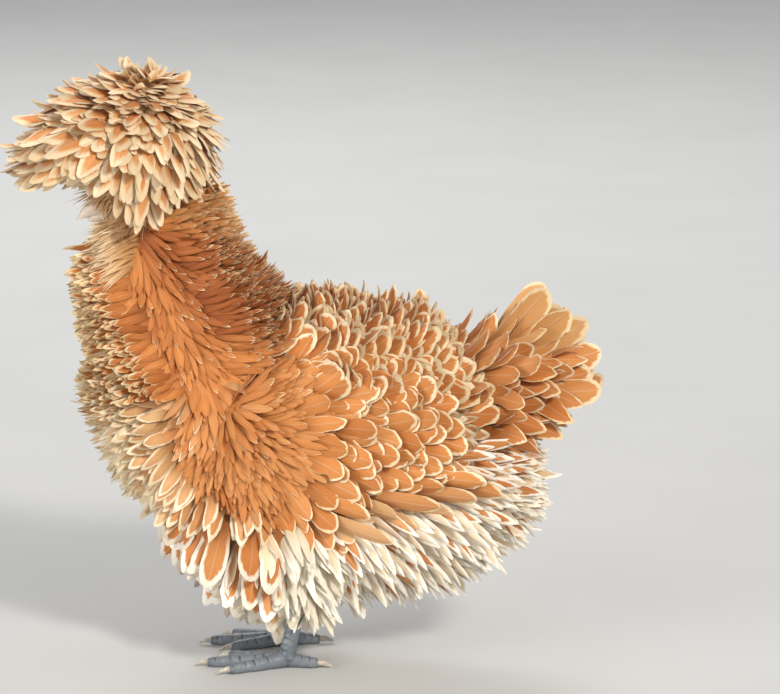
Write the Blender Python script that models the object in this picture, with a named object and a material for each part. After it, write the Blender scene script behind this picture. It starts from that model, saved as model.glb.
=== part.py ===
"""A life-size still model of a frizzled Padovana hen with a full crest.

Metres, +Z up. The hen faces -X and stands on Z = 0, and her left side is at -Y. The origin is the
middle of her bounding box at floor level. Landmarks below are in millimetres.
"""

import math
import random

import bmesh
import bpy
from mathutils import Vector

MM = 0.001
HALF_GAP = 0.2 * MM
LEFT, RIGHT = -1, 1
SIDES = {LEFT: "left", RIGHT: "right"}

# Spines of the fleshy forms: x, z, half depth and half width, from one end to the other
TORSO_SPINE = (
    (-97, 192, 0, 0),
    (-80, 184, 38, 33),
    (-46, 165, 58, 44),
    (1, 149, 71, 49),
    (44, 145, 73, 49),
    (86, 144, 69, 45),
    (116, 150, 51, 34),
    (136, 158, 0, 0),
)
NECK_SPINE = (
    (-50, 190, 36, 36),
    (-60, 222, 29, 29),
    (-70, 249, 23, 22),
    (-78, 276, 20, 18),
    (-83, 302, 17, 15),
)
HEAD_SPINE = (
    (-64, 325, 0, 0),
    (-77, 320, 16, 14),
    (-92, 313, 17, 15.5),
    (-104, 307, 12.5, 11),
    (-112, 303, 0, 0),
)
TAIL_SPINE = ((114, 170, 25, 20), (132, 184, 21, 16), (150, 197, 14, 11), (162, 206, 0, 0))
WING_SPINE = ((-34, 164, 0, 0), (-8, 160, 40, 10), (32, 158, 46, 12), (74, 164, 36, 10), (110, 174, 0, 0))

# The drumstick: x, distance from the middle, z, half depth and half width
THIGH_SPINE = ((2, 24, 124, 50, 22), (8, 24, 98, 52, 25), (16, 24, 72, 40, 22), (22, 27, 44, 20, 14))

# The dense middle of the crest
CREST_CENTRE = (-93, 0, 341)
CREST_RADII = (46, 36, 32)

# How far the tips of the crest's feathers reach from its middle, how far they hang per radian below
# it, and how much lower the brim is than the back
CREST_MIDDLE = (-90, 0, 336)
CREST_TOP, CREST_BACK, CREST_FRONT, CREST_SIDE = 68, 66, 88, 60
CURTAIN_DROP, BRIM_DROP = 100, 14

# The dense part of the coat, which reaches half way from the skin to the feather tips
NECK_COAT_SPINE = (
    (-40, 196, 68, 43),
    (-50, 222, 57, 41),
    (-65, 250, 42, 36),
    (-72, 280, 36, 32),
    (-78, 312, 32, 29),
)

# What the coat adds to the depth, the width and the length of the flesh
TORSO_COAT = (10, 5, 10)
BELLY_COAT = (19, 10, 6)

# Legs and feet
STANCE_HALF_WIDTH = 27
HOCK = (27, 66)
FOOT_CENTRE_X = 12
SHANK_RADIUS = 5.2
TOES = {"inner": (-24, 40), "middle": (0, 50), "outer": (26, 40), "hind": (172, 20)}
TOE_PROFILE = ((0, 6.2, 5.0), (0.3, 4.6, 4.4), (0.6, 3.4, 4.0), (1, 3.0, 3.2), (1.12, 2.8, 2.6))
CLAW_PROFILE = ((-0.3, 3.4, 2.4), (0.3, 3.3, 2.0), (0.7, 2.6, 1.3), (1.0, 1.1, 0))
CLAW_LENGTH = 11
SCUTES = 7

# Eyes, bill and mouth
EYE_CENTRE = (-94, 12, 315.5)
EYE_RADIUS = 4.2
LID_CORNERS = (0.4, 2.0, 3.5, 5.1)
UPPER_BEAK_SPINE = (
    (-98, 0, 307, 8, 7),
    (-106, 0, 305.5, 7.5, 6),
    (-115, 0, 303, 5.5, 4.4),
    (-121.5, 0, 298, 3, 2.4),
    (-124.5, 0, 292.5, 0, 0),
)
LOWER_BEAK_SPINE = (
    (-98, 0, 303, 6, 5.6),
    (-106, 0, 301, 5, 5),
    (-113, 0, 298.5, 3.6, 3.4),
    (-118, 0, 296.5, 0, 0),
)
MOUTH_FRONT, MOUTH_BACK, MOUTH_CORNER = (-122, 297.4), (-100, 303.2), (-103, 0, 302.4)
MOUTH_GROOVE = (8, 14, 0.9, 2.1)
NOSTRIL = (-110.5, 4.6, 306.2)
NOSTRIL_RADII = (2.2, 1.5, 0.8)

# Quills on each side of the tail
TAIL_PAIRS = 6

COLOURS = {
    "crest_feathers": (0.72, 0.48, 0.24),
    "body_feathers": (0.60, 0.28, 0.10),
    "hackle_feathers": (0.42, 0.16, 0.05),
    "fluff": (0.80, 0.72, 0.58),
    "face_skin": (0.45, 0.12, 0.09),
    "beak_horn": (0.62, 0.52, 0.42),
    "iris": (0.55, 0.12, 0.02),
    "shank_scale": (0.17, 0.20, 0.24),
    "claw_horn": (0.50, 0.46, 0.40),
}


def clear_scene():
    for thing in list(bpy.data.objects):
        bpy.data.objects.remove(thing)


def material(slot):
    found = bpy.data.materials.get(slot)
    if found:
        return found
    made = bpy.data.materials.new(slot)
    made.use_nodes = True
    shader = made.node_tree.nodes["Principled BSDF"]
    shader.inputs["Base Color"].default_value = (*COLOURS[slot], 1)
    shader.inputs["Roughness"].default_value = 0.35 if slot == "iris" else 0.7
    return made


class Wall:
    """A flat boundary between two nodes. A form keeps to the side that the normal points to."""

    def __init__(self, point, normal):
        self.point = Vector(point)
        self.normal = Vector(normal).normalized()

    @classmethod
    def across(cls, start, end):
        """Runs along Y through two (x, z) points, and faces left of the way from start to end."""
        (x0, z0), (x1, z1) = start, end
        return cls((x0 * MM, 0, z0 * MM), (z0 - z1, 0, x1 - x0))

    def back(self):
        return Wall(self.point, -self.normal)

    def depth(self, place):
        return (place - self.point).dot(self.normal) - HALF_GAP


CREST_OVER_NECK = Wall.across((-94, 270), (-27, 318))
CREST_OVER_HEAD = Wall.across((-105, 324), (-62, 339))
CREST_OVER_BEAK = Wall((-0.110, 0, 0.325), (-0.40, 0, 0.917))
NECK_OVER_TORSO = Wall.across((-131, 209), (41, 219))
NECK_BEFORE_SADDLE = Wall.across((37, 215), (50, 256))
TAIL_BEHIND_TORSO = Wall.across((104, 243), (154, 121))
BODY_OVER_THIGHS = Wall.across((-100, 94.5), (100, 94.5))
WING_BEHIND_BREAST = Wall.across((-40, 212), (-31, 98))
WING_OVER_FLANK = Wall.across((-100, 98), (100, 98))
WING_BEFORE_VENT = Wall.across((84, 94), (123, 175))
FACE_BEHIND_BEAK = Wall.across((-108, 330), (-102, 290))
MIDLINE = {side: Wall((0, 0, 0), (0, side, 0)) for side in SIDES}
WING_OUTSIDE_TORSO = {side: Wall((0, side * 0.046, 0), (0, side, 0)) for side in SIDES}
SADDLE_OVER_WING = {side: Wall((0, side * 0.040, 0.208), (0.2, -0.3 * side, 0.93)) for side in SIDES}
CREST_OUTSIDE_CHEEK = {side: Wall((0, side * 0.030, 0.322), (0, 0.859 * side, 0.511)) for side in SIDES}


def catmull(knots, t):
    """Smooth values between knots: t runs from 0 to 1 over all of them."""
    place = min(max(t, 0.0), 1.0) * (len(knots) - 1)
    i = min(int(place), len(knots) - 2)
    f = place - i
    before, a = knots[max(i - 1, 0)], knots[i]
    b, after = knots[i + 1], knots[min(i + 2, len(knots) - 1)]
    return [
        0.5 * (2 * q + (r - p) * f + (2 * p - 5 * q + 4 * r - s) * f**2 + (3 * q - p - 3 * r + s) * f**3)
        for p, q, r, s in zip(before, a, b, after)
    ]


class Form:
    """A round form along a spine. Squares of its radii are what is smoothed, which rounds its ends."""

    def __init__(self, spine, upright, offset=0.0):
        """Rows of the spine are x, z, half depth, half width, or x, y, z and the two halves."""
        self.knots = []
        for row in spine:
            y = offset if len(row) == 4 else row[1] * MM
            deep, wide = row[-2] * MM, row[-1] * MM
            self.knots.append((row[0] * MM, y, row[-3] * MM, deep**2, wide**2))
        self.upright = Vector(upright)

    def axes(self, t):
        """Centre, the way along the spine, the way of its depth and the way of its width."""
        centre = Vector(catmull(self.knots, t)[:3])
        ahead, behind = (Vector(catmull(self.knots, t + d)[:3]) for d in (0.01, -0.01))
        along = (ahead - behind).normalized()
        depth = (self.upright - along * self.upright.dot(along)).normalized()
        return centre, along, depth, along.cross(depth)

    def at(self, t, turn):
        """The surface point at t along the spine, turned from the depth axis towards the width axis."""
        centre, _, depth, width = self.axes(t)
        deep, wide = (math.sqrt(max(v, 0.0)) for v in catmull(self.knots, t)[3:])
        return centre + depth * deep * math.cos(turn) + width * wide * math.sin(turn)

    def facing(self, t, turn):
        """The outward normal there, and the way along the surface towards the spine's far end."""
        step = 0.004
        low, high = max(t - step, 0.0), min(t + step, 1.0)
        lengthwise = (self.at(high, turn) - self.at(low, turn)).normalized()
        around = self.at(t, turn + 0.02) - self.at(t, turn - 0.02)
        out = around.cross(lengthwise).normalized()
        if out.dot(self.at(t, turn) - self.axes(t)[0]) < 0:
            out.negate()
        return out, lengthwise

    def mesh(self, name, rings, corners):
        """A closed mesh object, with rings crowded towards rounded ends."""
        shape = bmesh.new()
        loops = []
        round_start, round_end = (self.knots[i][3] == 0 for i in (0, -1))
        for i in range(rings + 1):
            share = i / rings
            if round_start and round_end:
                share = 0.5 - 0.5 * math.cos(math.pi * share)
            elif round_end:
                share = math.sin(math.pi / 2 * share)
            if (i == 0 and round_start) or (i == rings and round_end):
                loops.append([shape.verts.new(self.at(share, 0))])
            else:
                turns = [math.tau * k / corners for k in range(corners)]
                loops.append([shape.verts.new(self.at(share, turn)) for turn in turns])
        for a, b in zip(loops, loops[1:]):
            for k in range(corners):
                quad = [a[k % len(a)], a[(k + 1) % len(a)], b[(k + 1) % len(b)], b[k % len(b)]]
                shape.faces.new(list(dict.fromkeys(quad)))
        for end in (loops[0], loops[-1]):
            if len(end) > 1:
                shape.faces.new(end)
        return finished(name, shape)


def finished(name, shape):
    """Makes an object of a bmesh with its faces pointing out."""
    bmesh.ops.triangulate(shape, faces=shape.faces)
    bmesh.ops.recalc_face_normals(shape, faces=shape.faces)
    data = bpy.data.meshes.new(name)
    shape.to_mesh(data)
    shape.free()
    made = bpy.data.objects.new(name, data)
    bpy.context.collection.objects.link(made)
    return made


def cut(thing, *walls):
    """Keeps the part of a convex form that lies on the facing side of each wall."""
    shape = bmesh.new()
    shape.from_mesh(thing.data)
    for wall in walls:
        place = wall.point + wall.normal * HALF_GAP
        geometry = shape.verts[:] + shape.edges[:] + shape.faces[:]
        bmesh.ops.bisect_plane(shape, geom=geometry, plane_co=place, plane_no=wall.normal, clear_inner=True)
        rim = [edge for edge in shape.edges if edge.is_boundary]
        bmesh.ops.holes_fill(shape, edges=rim)
    bmesh.ops.triangulate(shape, faces=shape.faces)
    bmesh.ops.recalc_face_normals(shape, faces=shape.faces)
    shape.to_mesh(thing.data)
    shape.free()
    return thing


def combined(base, others, operation="UNION"):
    """Applies one Boolean of a collection of closed objects to base, and removes them."""
    if not others:
        return base
    group = bpy.data.collections.new("others")
    bpy.context.scene.collection.children.link(group)
    for other in others:
        for holder in list(other.users_collection):
            holder.objects.unlink(other)
        group.objects.link(other)
    step = base.modifiers.new("combine", "BOOLEAN")
    step.operation = operation
    step.operand_type = "COLLECTION"
    step.collection = group
    step.solver = "MANIFOLD"
    bpy.context.view_layer.update()
    evaluated = base.evaluated_get(bpy.context.evaluated_depsgraph_get())
    result = bpy.data.meshes.new_from_object(evaluated)
    base.modifiers.clear()
    base.data = result
    for other in others:
        bpy.data.objects.remove(other)
    bpy.data.collections.remove(group)
    return base


def keep_largest(thing):
    """Drops every closed surface of a mesh but the one that holds the most."""
    shape = bmesh.new()
    shape.from_mesh(thing.data)
    bmesh.ops.triangulate(shape, faces=shape.faces)
    left, shells = set(shape.faces), []
    while left:
        edge_of, shell = [left.pop()], []
        while edge_of:
            face = edge_of.pop()
            shell.append(face)
            near = {other for edge in face.edges for other in edge.link_faces if other in left}
            left -= near
            edge_of.extend(near)
        shells.append(shell)

    def holds(shell):
        return sum(f.verts[0].co.dot(f.verts[1].co.cross(f.verts[2].co)) for f in shell)

    shells.sort(key=holds)
    loose = [face for shell in shells[:-1] for face in shell]
    bmesh.ops.delete(shape, geom=loose, context="FACES")
    shape.to_mesh(thing.data)
    shape.free()
    return thing


def node(name, slot, base, others=()):
    """Joins a node's pieces into one closed body with its material."""
    made = keep_largest(combined(base, list(others)))
    made.name = made.data.name = name
    made.data.materials.clear()
    made.data.materials.append(material(slot))
    made.data.shade_smooth()
    made.data.set_sharp_from_angle(angle=math.radians(35))
    return made


def grown(spine, deep, wide, longer=0):
    """The same spine out to the feather tips."""
    rows = [list(row) for row in spine]
    for row in rows:
        if row[-2]:
            row[-2] += deep
            row[-1] += wide
    for end, inside in ((0, 1), (-1, -2)):
        if rows[end][-2] == 0:
            away = Vector(rows[end][:2]) - Vector(rows[inside][:2])
            rows[end][:2] = Vector(rows[end][:2]) + away.normalized() * longer
    return rows


FORWARD, UP = (-1, 0, 0), (0, 0, 1)
TORSO = Form(grown(TORSO_SPINE, *TORSO_COAT), UP)
BELLY = Form(grown(TORSO_SPINE, *BELLY_COAT), UP)
NECK = Form(NECK_COAT_SPINE, (1, 0, 0))
HEAD = Form(HEAD_SPINE, UP)
TAIL = Form(TAIL_SPINE, UP)


class Vane:
    """One size of feather: a thin closed blade with a raised shaft line on both faces.

    Lengths are in millimetres and angles in degrees. The blade leaves its root at `lift` above the
    way it lies, and has turned by `bend` at its tip. Its outline is pairs of a share of the length
    and a share of the width, and it ends in a point.
    """

    ROUND = ((0.0, 0.40), (0.42, 0.94), (0.84, 0.86))
    POINTED = ((0.0, 0.45), (0.42, 1.0), (0.80, 0.60))

    def __init__(self, length, width, lift, bend, outline=ROUND, thick=1.3, sink=4.5):
        self.length, self.width, self.thick, self.sink = length * MM, width * MM, thick * MM, sink * MM
        self.lift, self.bend, self.outline = math.radians(lift), math.radians(bend), outline

    def stations(self, root, ahead, out, scale):
        """Groups of left, top, right and bottom points along the blade, then its tip."""
        ahead = (ahead - out * ahead.dot(out)).normalized()
        side = ahead.cross(out)
        groups = []
        for share, wide in (*self.outline, (1.0, 0.0)):
            angle = self.lift + self.bend * share
            run = (math.sin(angle) - math.sin(self.lift)) / self.bend
            rise = (math.cos(self.lift) - math.cos(angle)) / self.bend
            centre = root + (ahead * run + out * rise) * self.length * scale
            if share == 0.0:
                centre = root - (out + ahead * 0.4) * self.sink
            face = out * math.cos(angle) - ahead * math.sin(angle)
            half, deep = side * self.width * wide / 2, face * self.thick / 2
            corners = [centre - half, centre + deep, centre + half, centre - deep]
            groups.append(corners if wide else [centre])
        return groups

    def fitted(self, root, ahead, out, walls, scale=1.0):
        """The stations shortened, then bent, until they are clear of every wall, or None."""
        for shorter in (1.0, 0.9, 0.8, 0.7, 0.6):
            groups = self.stations(root, ahead, out, scale * shorter)
            if deepest(groups, walls) > -0.1 * self.length:
                break
        for _ in range(3):
            for wall in walls:
                for group in groups:
                    over = min(wall.depth(point) for point in group)
                    if over < 0:
                        for point in group:
                            point -= wall.normal * over
        return groups if deepest(groups, walls) > -1e-6 else None


def deepest(groups, walls):
    """How far the blade stays inside its walls, below zero where it crosses one."""
    return min(wall.depth(point) for wall in walls for group in groups for point in group)


def blade(groups):
    """A closed object through the stations, with both faces cut into triangles alike."""
    shape = bmesh.new()
    rings = [[shape.verts.new(point) for point in group] for group in groups]
    left, top, right, bottom = range(4)
    shape.faces.new([rings[0][k] for k in (left, top, right)])
    shape.faces.new([rings[0][k] for k in (left, right, bottom)])
    for a, b in zip(rings[:-2], rings[1:-1]):
        for ridge in (top, bottom):
            for edge in (left, right):
                shape.faces.new([a[edge], a[ridge], b[ridge]])
                shape.faces.new([a[edge], b[ridge], b[edge]])
    end, tip = rings[-2], rings[-1][0]
    for ridge in (top, bottom):
        for edge in (left, right):
            shape.faces.new([end[edge], end[ridge], tip])
    return finished("vane", shape)


class Plumage:
    """Gathers the vanes of one node. Each root stays inside its node, and each vane inside its walls."""

    def __init__(self, seed, walls):
        self.chance, self.walls, self.vanes = random.Random(seed), walls, []

    def add(self, vane, root, ahead, out, walls=(), either=(), scale=1.0):
        """Adds one vane. Of the walls in `either` it keeps to the one that it clears best."""
        fixed = [*self.walls, *walls]
        if min((wall.depth(root) for wall in fixed), default=1) < 0.25 * vane.width:
            return
        if either:
            trial = vane.stations(root, ahead, out, scale)
            fixed.append(max(either, key=lambda wall: deepest(trial, [wall])))
        groups = vane.fitted(root, ahead, out, fixed, scale * self.chance.uniform(0.93, 1.07))
        if groups:
            self.vanes.append(blade(groups))

    def rows(self, form, vane, span, rows, turns, lie=None, walls=(), either=(), stretch=None):
        """Staggered rows over part of a form: `span` along its spine and `turns` around it, in degrees."""
        low, high = (math.radians(turn) for turn in turns)
        for row in range(rows):
            t = span[0] + (span[1] - span[0]) * (row + 0.5) / rows
            ring = [form.at(t, low + (high - low) * k / 24) for k in range(25)]
            arc = sum((b - a).length for a, b in zip(ring, ring[1:]))
            count = max(1, int(arc / (vane.width * 1.12)))
            for column in range(count):
                place = (column + 0.5 + (0.25 if row % 2 else -0.25)) / count
                turn = low + (high - low) * place + self.chance.uniform(-0.1, 0.1) / count
                where = t + self.chance.uniform(-0.1, 0.1) * (span[1] - span[0]) / rows
                out, lengthwise = form.facing(where, turn)
                ahead = lie(turn, lengthwise, out) if lie else lengthwise
                scale = stretch(turn) if stretch else 1
                self.add(vane, form.at(where, turn), ahead, out, walls, either, scale)


def globe_point(down, around):
    """A surface point and its normal on the crest's core: `down` from the crown, `around` from the back."""
    way = Vector((math.sin(down) * math.cos(around), math.sin(down) * math.sin(around), math.cos(down)))
    point = Vector([(c + r * w) * MM for c, r, w in zip(CREST_CENTRE, CREST_RADII, way)])
    normal = Vector([w / r for w, r in zip(way, CREST_RADII)]).normalized()
    return point, normal


CREST_VANE_WIDTH = 28
CREST_RING_STEP = 18
ROOT_BEHIND_TIP = 0.6
CROWN_COMBED = 18


def crest_reach(down, around):
    """How far out and up from the crest's middle its outside lies: a dome, and a curtain below it."""
    girth = CREST_BACK if math.cos(around) > 0 else CREST_FRONT
    wide = math.hypot(girth * math.cos(around), CREST_SIDE * math.sin(around))
    over, below = min(down, math.pi / 2), max(down - math.pi / 2, 0)
    drop = BRIM_DROP * math.sin(over) * ((1 - math.cos(around)) / 2) ** 3
    up = CREST_TOP * math.cos(over) - CURTAIN_DROP * below - drop
    return Vector((wide * math.sin(over) * (1 - 0.25 * below), up)) * MM


def crest_limit(around):
    """How far down the feathers reach: furthest at the cheeks, less behind and over the bill."""
    front = (1 - math.cos(around)) / 2
    return math.radians(103 + 12 * eased(front, 0.0, 0.3) - 15 * eased(front, 0.44, 0.62))


def eased(value, low, high):
    share = min(max((value - low) / (high - low), 0), 1)
    return share * share * (3 - 2 * share)


def crest_vane(down, around, chance):
    """A feather as an upright arc from the core to the crest's outside, with its root and its way."""
    root_down = min(max(down - ROOT_BEHIND_TIP, 0.48 * down), 1.35)
    root, out = globe_point(root_down, around)
    combed = root + Vector((CROWN_COMBED * (1 - eased(down, 0.3, 1.2)), 0, 0)) * MM
    way = Vector([(p / MM - c) / r for p, c, r in zip(combed, CREST_CENTRE, CREST_RADII)]).normalized()
    root, out = globe_point(math.acos(way.z), math.atan2(way.y, way.x))
    reach = crest_reach(down, around)
    tip = Vector((math.cos(around) * reach.x, math.sin(around) * reach.x, reach.y))
    tip += Vector(CREST_MIDDLE) * MM
    onward = crest_reach(down + 0.03, around) - reach
    flat = Vector((tip.x - root.x, tip.y - root.y, 0))
    chord = math.atan2(flat.length, tip.z - root.z)
    front = (1 - math.cos(around)) / 2
    brim = eased(front, 0.72, 0.95) * eased(down, 0.9, 1.5)
    stands_off = math.radians(22 - 12 * eased(down, 0.8, 1.7) + 40 * brim + chance.uniform(-6, 6))
    at_tip = math.atan2(onward.x, onward.y) % math.tau - stands_off
    at_tip = min(at_tip, chord + math.radians(34 + 22 * eased(down, 0.4, 1.2)))
    at_root = 2 * chord - at_tip
    turned = max(at_tip - at_root, 0.1)
    length = (tip - root).length * (turned / 2) / math.sin(turned / 2)
    vane = Vane(length / MM, CREST_VANE_WIDTH, 90 - math.degrees(at_root), math.degrees(-turned))
    return vane, root - out * 3 * MM, flat.normalized()


def build_crest():
    shape = bmesh.new()
    bmesh.ops.create_icosphere(shape, subdivisions=2, radius=MM)
    for vert in shape.verts:
        vert.co = Vector([c * MM + r * v for c, r, v in zip(CREST_CENTRE, CREST_RADII, vert.co)])
    core = cut(finished("crest", shape), CREST_OVER_HEAD, CREST_OVER_NECK)
    coat = Plumage(1, [CREST_OVER_NECK])
    tent = [CREST_OVER_HEAD, CREST_OVER_BEAK, CREST_OUTSIDE_CHEEK[LEFT], CREST_OUTSIDE_CHEEK[RIGHT]]
    for ring, down in enumerate(range(2, 116, CREST_RING_STEP)):
        lean = math.radians(down)
        count = max(4, int(math.tau * 62 * math.sin(min(lean, math.pi / 2)) / CREST_VANE_WIDTH))
        for k in range(count):
            around = math.tau * (k + 0.5 * (ring % 2) + coat.chance.uniform(-0.12, 0.12)) / count
            if lean > crest_limit(around):
                continue
            vane, root, ahead = crest_vane(lean + coat.chance.uniform(-0.06, 0.06), around, coat.chance)
            if CREST_OVER_HEAD.depth(root) > 0.002:
                coat.add(vane, root, ahead, Vector(UP), either=tent)
    return node("crest", "crest_feathers", core, coat.vanes)


THROAT = Form(NECK_SPINE, (1, 0, 0))
MUFF_ROWS = (
    (HEAD, 0.50, (120, 148)),
    (THROAT, 0.93, (166, 134, 102)),
    (THROAT, 0.82, (150, 118, 86)),
    (THROAT, 0.73, (150,)),
)
MUFF_UNDER_EYE = Wall((0, 0, 0.3105), (0, 0, -1))
BEARD_UNDER_BEAK = Wall((-0.106, 0, 0.2945), (0, 0, -1))
BEARD_BESIDE_BEAK = {side: Wall((0, side * 0.0085, 0), (0, side, 0)) for side in SIDES}


def build_head():
    head = HEAD.mesh("head", 8, 10)
    throat = cut(Form(grown(NECK_SPINE, 0, 0), (1, 0, 0)).mesh("throat", 6, 10), CREST_OVER_NECK)
    cut(head, FACE_BEHIND_BEAK)
    made = combined(head, [throat, *(lid(side) for side in SIDES)])
    sockets = [ball("socket", eye_centre(side), EYE_RADIUS * MM + 2 * HALF_GAP) for side in SIDES]
    groove = ball("groove", Vector((0, 0, 0)), 1, 8, 5)
    long, wide, deep, fall = MOUTH_GROOVE
    for vert in groove.data.vertices:
        x, y, z = vert.co
        vert.co = (Vector(MOUTH_CORNER) + Vector((x * long, y * wide, z * deep + x * fall))) * MM
    made = combined(made, [half_space("roof", CREST_OVER_HEAD), groove, *sockets], "DIFFERENCE")
    coat = Plumage(17, [CREST_OVER_HEAD.back(), CREST_OVER_BEAK.back(), CREST_OVER_NECK, MUFF_UNDER_EYE])
    beard = Vane(34, 15, 34, 26, sink=3.5)
    for side in SIDES:
        inside = [CREST_OUTSIDE_CHEEK[side].back()]
        beside = [BEARD_UNDER_BEAK, BEARD_BESIDE_BEAK[side]]
        for form, t, turns in MUFF_ROWS:
            for turn in turns:
                out, _ = form.facing(t, math.radians(side * turn))
                root = form.at(t, math.radians(side * turn))
                coat.add(beard, root, Vector((-0.3, 0, -1)), out, inside, beside)
    return node("head", "face_skin", made, coat.vanes)


def lid(side):
    """The bare ring around an eye."""
    shape = bmesh.new()
    middle = eye_centre(side) + Vector((-0.1, 0.5 * side, 0)) * MM
    outward = Vector((-0.25, side, 0)).normalized()
    across = Vector(UP).cross(outward)
    loops = []
    for k in range(12):
        way = across * math.cos(math.tau * k / 12) + Vector(UP) * 0.86 * math.sin(math.tau * k / 12)
        rim = middle + way * (EYE_RADIUS + 1.25) * MM
        loops.append([
            shape.verts.new(rim + (way * math.cos(turn) + outward * 1.8 * math.sin(turn)) * 0.85 * MM)
            for turn in LID_CORNERS
        ])
    for a, b in zip(loops, loops[1:] + loops[:1]):
        for k in range(4):
            shape.faces.new([a[k], a[(k + 1) % 4], b[(k + 1) % 4], b[k]])
    return finished("lid", shape)


def half_space(name, wall):
    """A large block that fills the facing side of a wall, to take away from a form."""
    shape = bmesh.new()
    bmesh.ops.create_cube(shape, size=1.0)
    turn = Vector(UP).rotation_difference(wall.normal)
    for vert in shape.verts:
        vert.co.z += 0.5
        vert.co = wall.point - wall.normal * HALF_GAP + turn @ vert.co
    return finished(name, shape)


def eye_centre(side):
    x, out, z = EYE_CENTRE
    return Vector((x, side * out, z)) * MM


def ball(name, centre, radius, segments=10, rings=7):
    shape = bmesh.new()
    bmesh.ops.create_uvsphere(shape, u_segments=segments, v_segments=rings, radius=radius)
    bmesh.ops.translate(shape, verts=shape.verts, vec=centre)
    return finished(name, shape)


def build_beak():
    mouth = Wall.across(MOUTH_FRONT, MOUTH_BACK)
    upper = cut(Form(UPPER_BEAK_SPINE, UP).mesh("beak_upper", 7, 10), FACE_BEHIND_BEAK.back(), mouth)
    nostrils = []
    for side in SIDES:
        hole = ball("nostril", Vector((0, 0, 0)), 1, 8, 5)
        middle = Vector((NOSTRIL[0], side * NOSTRIL[1], NOSTRIL[2]))
        for vert in hole.data.vertices:
            vert.co = (middle + Vector([r * v for r, v in zip(NOSTRIL_RADII, vert.co)])) * MM
        nostrils.append(hole)
    upper = combined(upper, nostrils, "DIFFERENCE")
    lower = cut(Form(LOWER_BEAK_SPINE, UP).mesh("beak_lower", 6, 10), FACE_BEHIND_BEAK.back(), mouth.back())
    return node("beak_upper", "beak_horn", upper), node("beak_lower", "beak_horn", lower)


def build_eye(side):
    return node(f"eye_{SIDES[side]}", "iris", ball("eye", eye_centre(side), EYE_RADIUS * MM))


def build_neck():
    walls = [CREST_OVER_NECK.back(), NECK_OVER_TORSO, NECK_BEFORE_SADDLE]
    core = cut(NECK.mesh("neck", 7, 16), *walls)
    coat = Plumage(2, walls)

    def lie(turn, up, out):
        return Vector((0.3 * math.cos(turn), 0, 0)) - up

    def longer_behind(turn):
        return 0.78 + 0.14 * (1 - math.cos(turn)) / 2 + 0.5 * max(math.cos(turn), 0) ** 2

    hackle, cape = Vane(31, 17, 40, 46, Vane.POINTED), Vane(46, 17, 30, 34, Vane.POINTED)
    coat.rows(NECK, hackle, (0.88, 0.16), 4, (10, 350), lie, stretch=longer_behind)
    coat.rows(NECK, cape, (0.34, 0.02), 2, (-48, 48), lambda turn, up, out: Vector((1, 0, 0)) - 0.6 * up)
    return node("neck", "hackle_feathers", core, coat.vanes)


def neck_block():
    """The space of the neck, which the back of the torso is notched for."""
    block = half_space("block", NECK_OVER_TORSO)
    normal = NECK_BEFORE_SADDLE.normal
    return cut(block, Wall(NECK_BEFORE_SADDLE.point - normal * 2 * HALF_GAP, normal))


def build_torso():
    core = TORSO.mesh("torso", 11, 14)
    cut(core, TAIL_BEHIND_TORSO.back(), BODY_OVER_THIGHS)
    cut(core, WING_OUTSIDE_TORSO[LEFT].back(), WING_OUTSIDE_TORSO[RIGHT].back())
    core = combined(core, [neck_block()], "DIFFERENCE")
    coat = Plumage(3, [TAIL_BEHIND_TORSO.back(), BODY_OVER_THIGHS])

    def down_and_back(turn, lengthwise, out):
        return lengthwise - 1.6 * Vector(UP)

    breast, breast_low = Vane(32, 19, 24, 38), Vane(27, 19, 8, 18)
    front = [WING_BEHIND_BREAST.back(), NECK_OVER_TORSO.back()]
    for turns, vane in (((34, 112), breast), ((112, 248), breast_low), ((248, 326), breast)):
        coat.rows(TORSO, vane, (0.03, 0.31), 5, turns, down_and_back, front)
    saddle, saddle_side = Vane(44, 21, 26, 36), Vane(42, 21, 18, 24)
    over_wings = [SADDLE_OVER_WING[LEFT], SADDLE_OVER_WING[RIGHT]]
    behind_neck = [NECK_OVER_TORSO.back(), NECK_BEFORE_SADDLE.back()]
    coat.rows(TORSO, saddle, (0.52, 0.9), 5, (-34, 34), None, over_wings, behind_neck)
    for side in SIDES:
        turns = (side * 36, side * 58)
        coat.rows(TORSO, saddle_side, (0.34, 0.88), 5, turns, None, over_wings, behind_neck)
    vent = Vane(38, 19, 28, 34)
    coat.rows(TORSO, vent, (0.76, 0.95), 3, (85, 275), None, [WING_BEFORE_VENT.back()])
    return node("torso", "body_feathers", core, coat.vanes)


def build_wing(side):
    form = Form([(x, side * 46, z, deep, wide) for x, z, deep, wide in WING_SPINE], UP)
    walls = [
        WING_OUTSIDE_TORSO[side],
        WING_BEHIND_BREAST,
        WING_OVER_FLANK,
        WING_BEFORE_VENT,
        SADDLE_OVER_WING[side].back(),
    ]
    core = cut(form.mesh("wing", 8, 12), *walls)
    coat = Plumage(5 + side, walls)

    def backward(turn, lengthwise, out):
        return lengthwise + 0.25 * Vector(UP) * math.cos(turn)

    coat.rows(form, Vane(36, 19, 12, 16), (0.10, 0.66), 5, (-side * 20, -side * 160), backward)
    flight = Vane(50, 17, 6, 10)
    coat.rows(form, flight, (0.64, 0.86), 2, (-side * 25, -side * 155))
    return node(f"wing_{SIDES[side]}", "body_feathers", core, coat.vanes)


LEG_WALLS = {
    side: (
        Wall((0, side * 0.036, 0), (0, side, 0)),
        Wall((0, side * 0.018, 0), (0, -side, 0)),
        Wall((0.002, 0, 0), (-1, 0, 0)),
        Wall((0.038, 0, 0), (1, 0, 0)),
        Wall((0, 0, 0.068), (0, 0, 1)),
    )
    for side in SIDES
}


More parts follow.
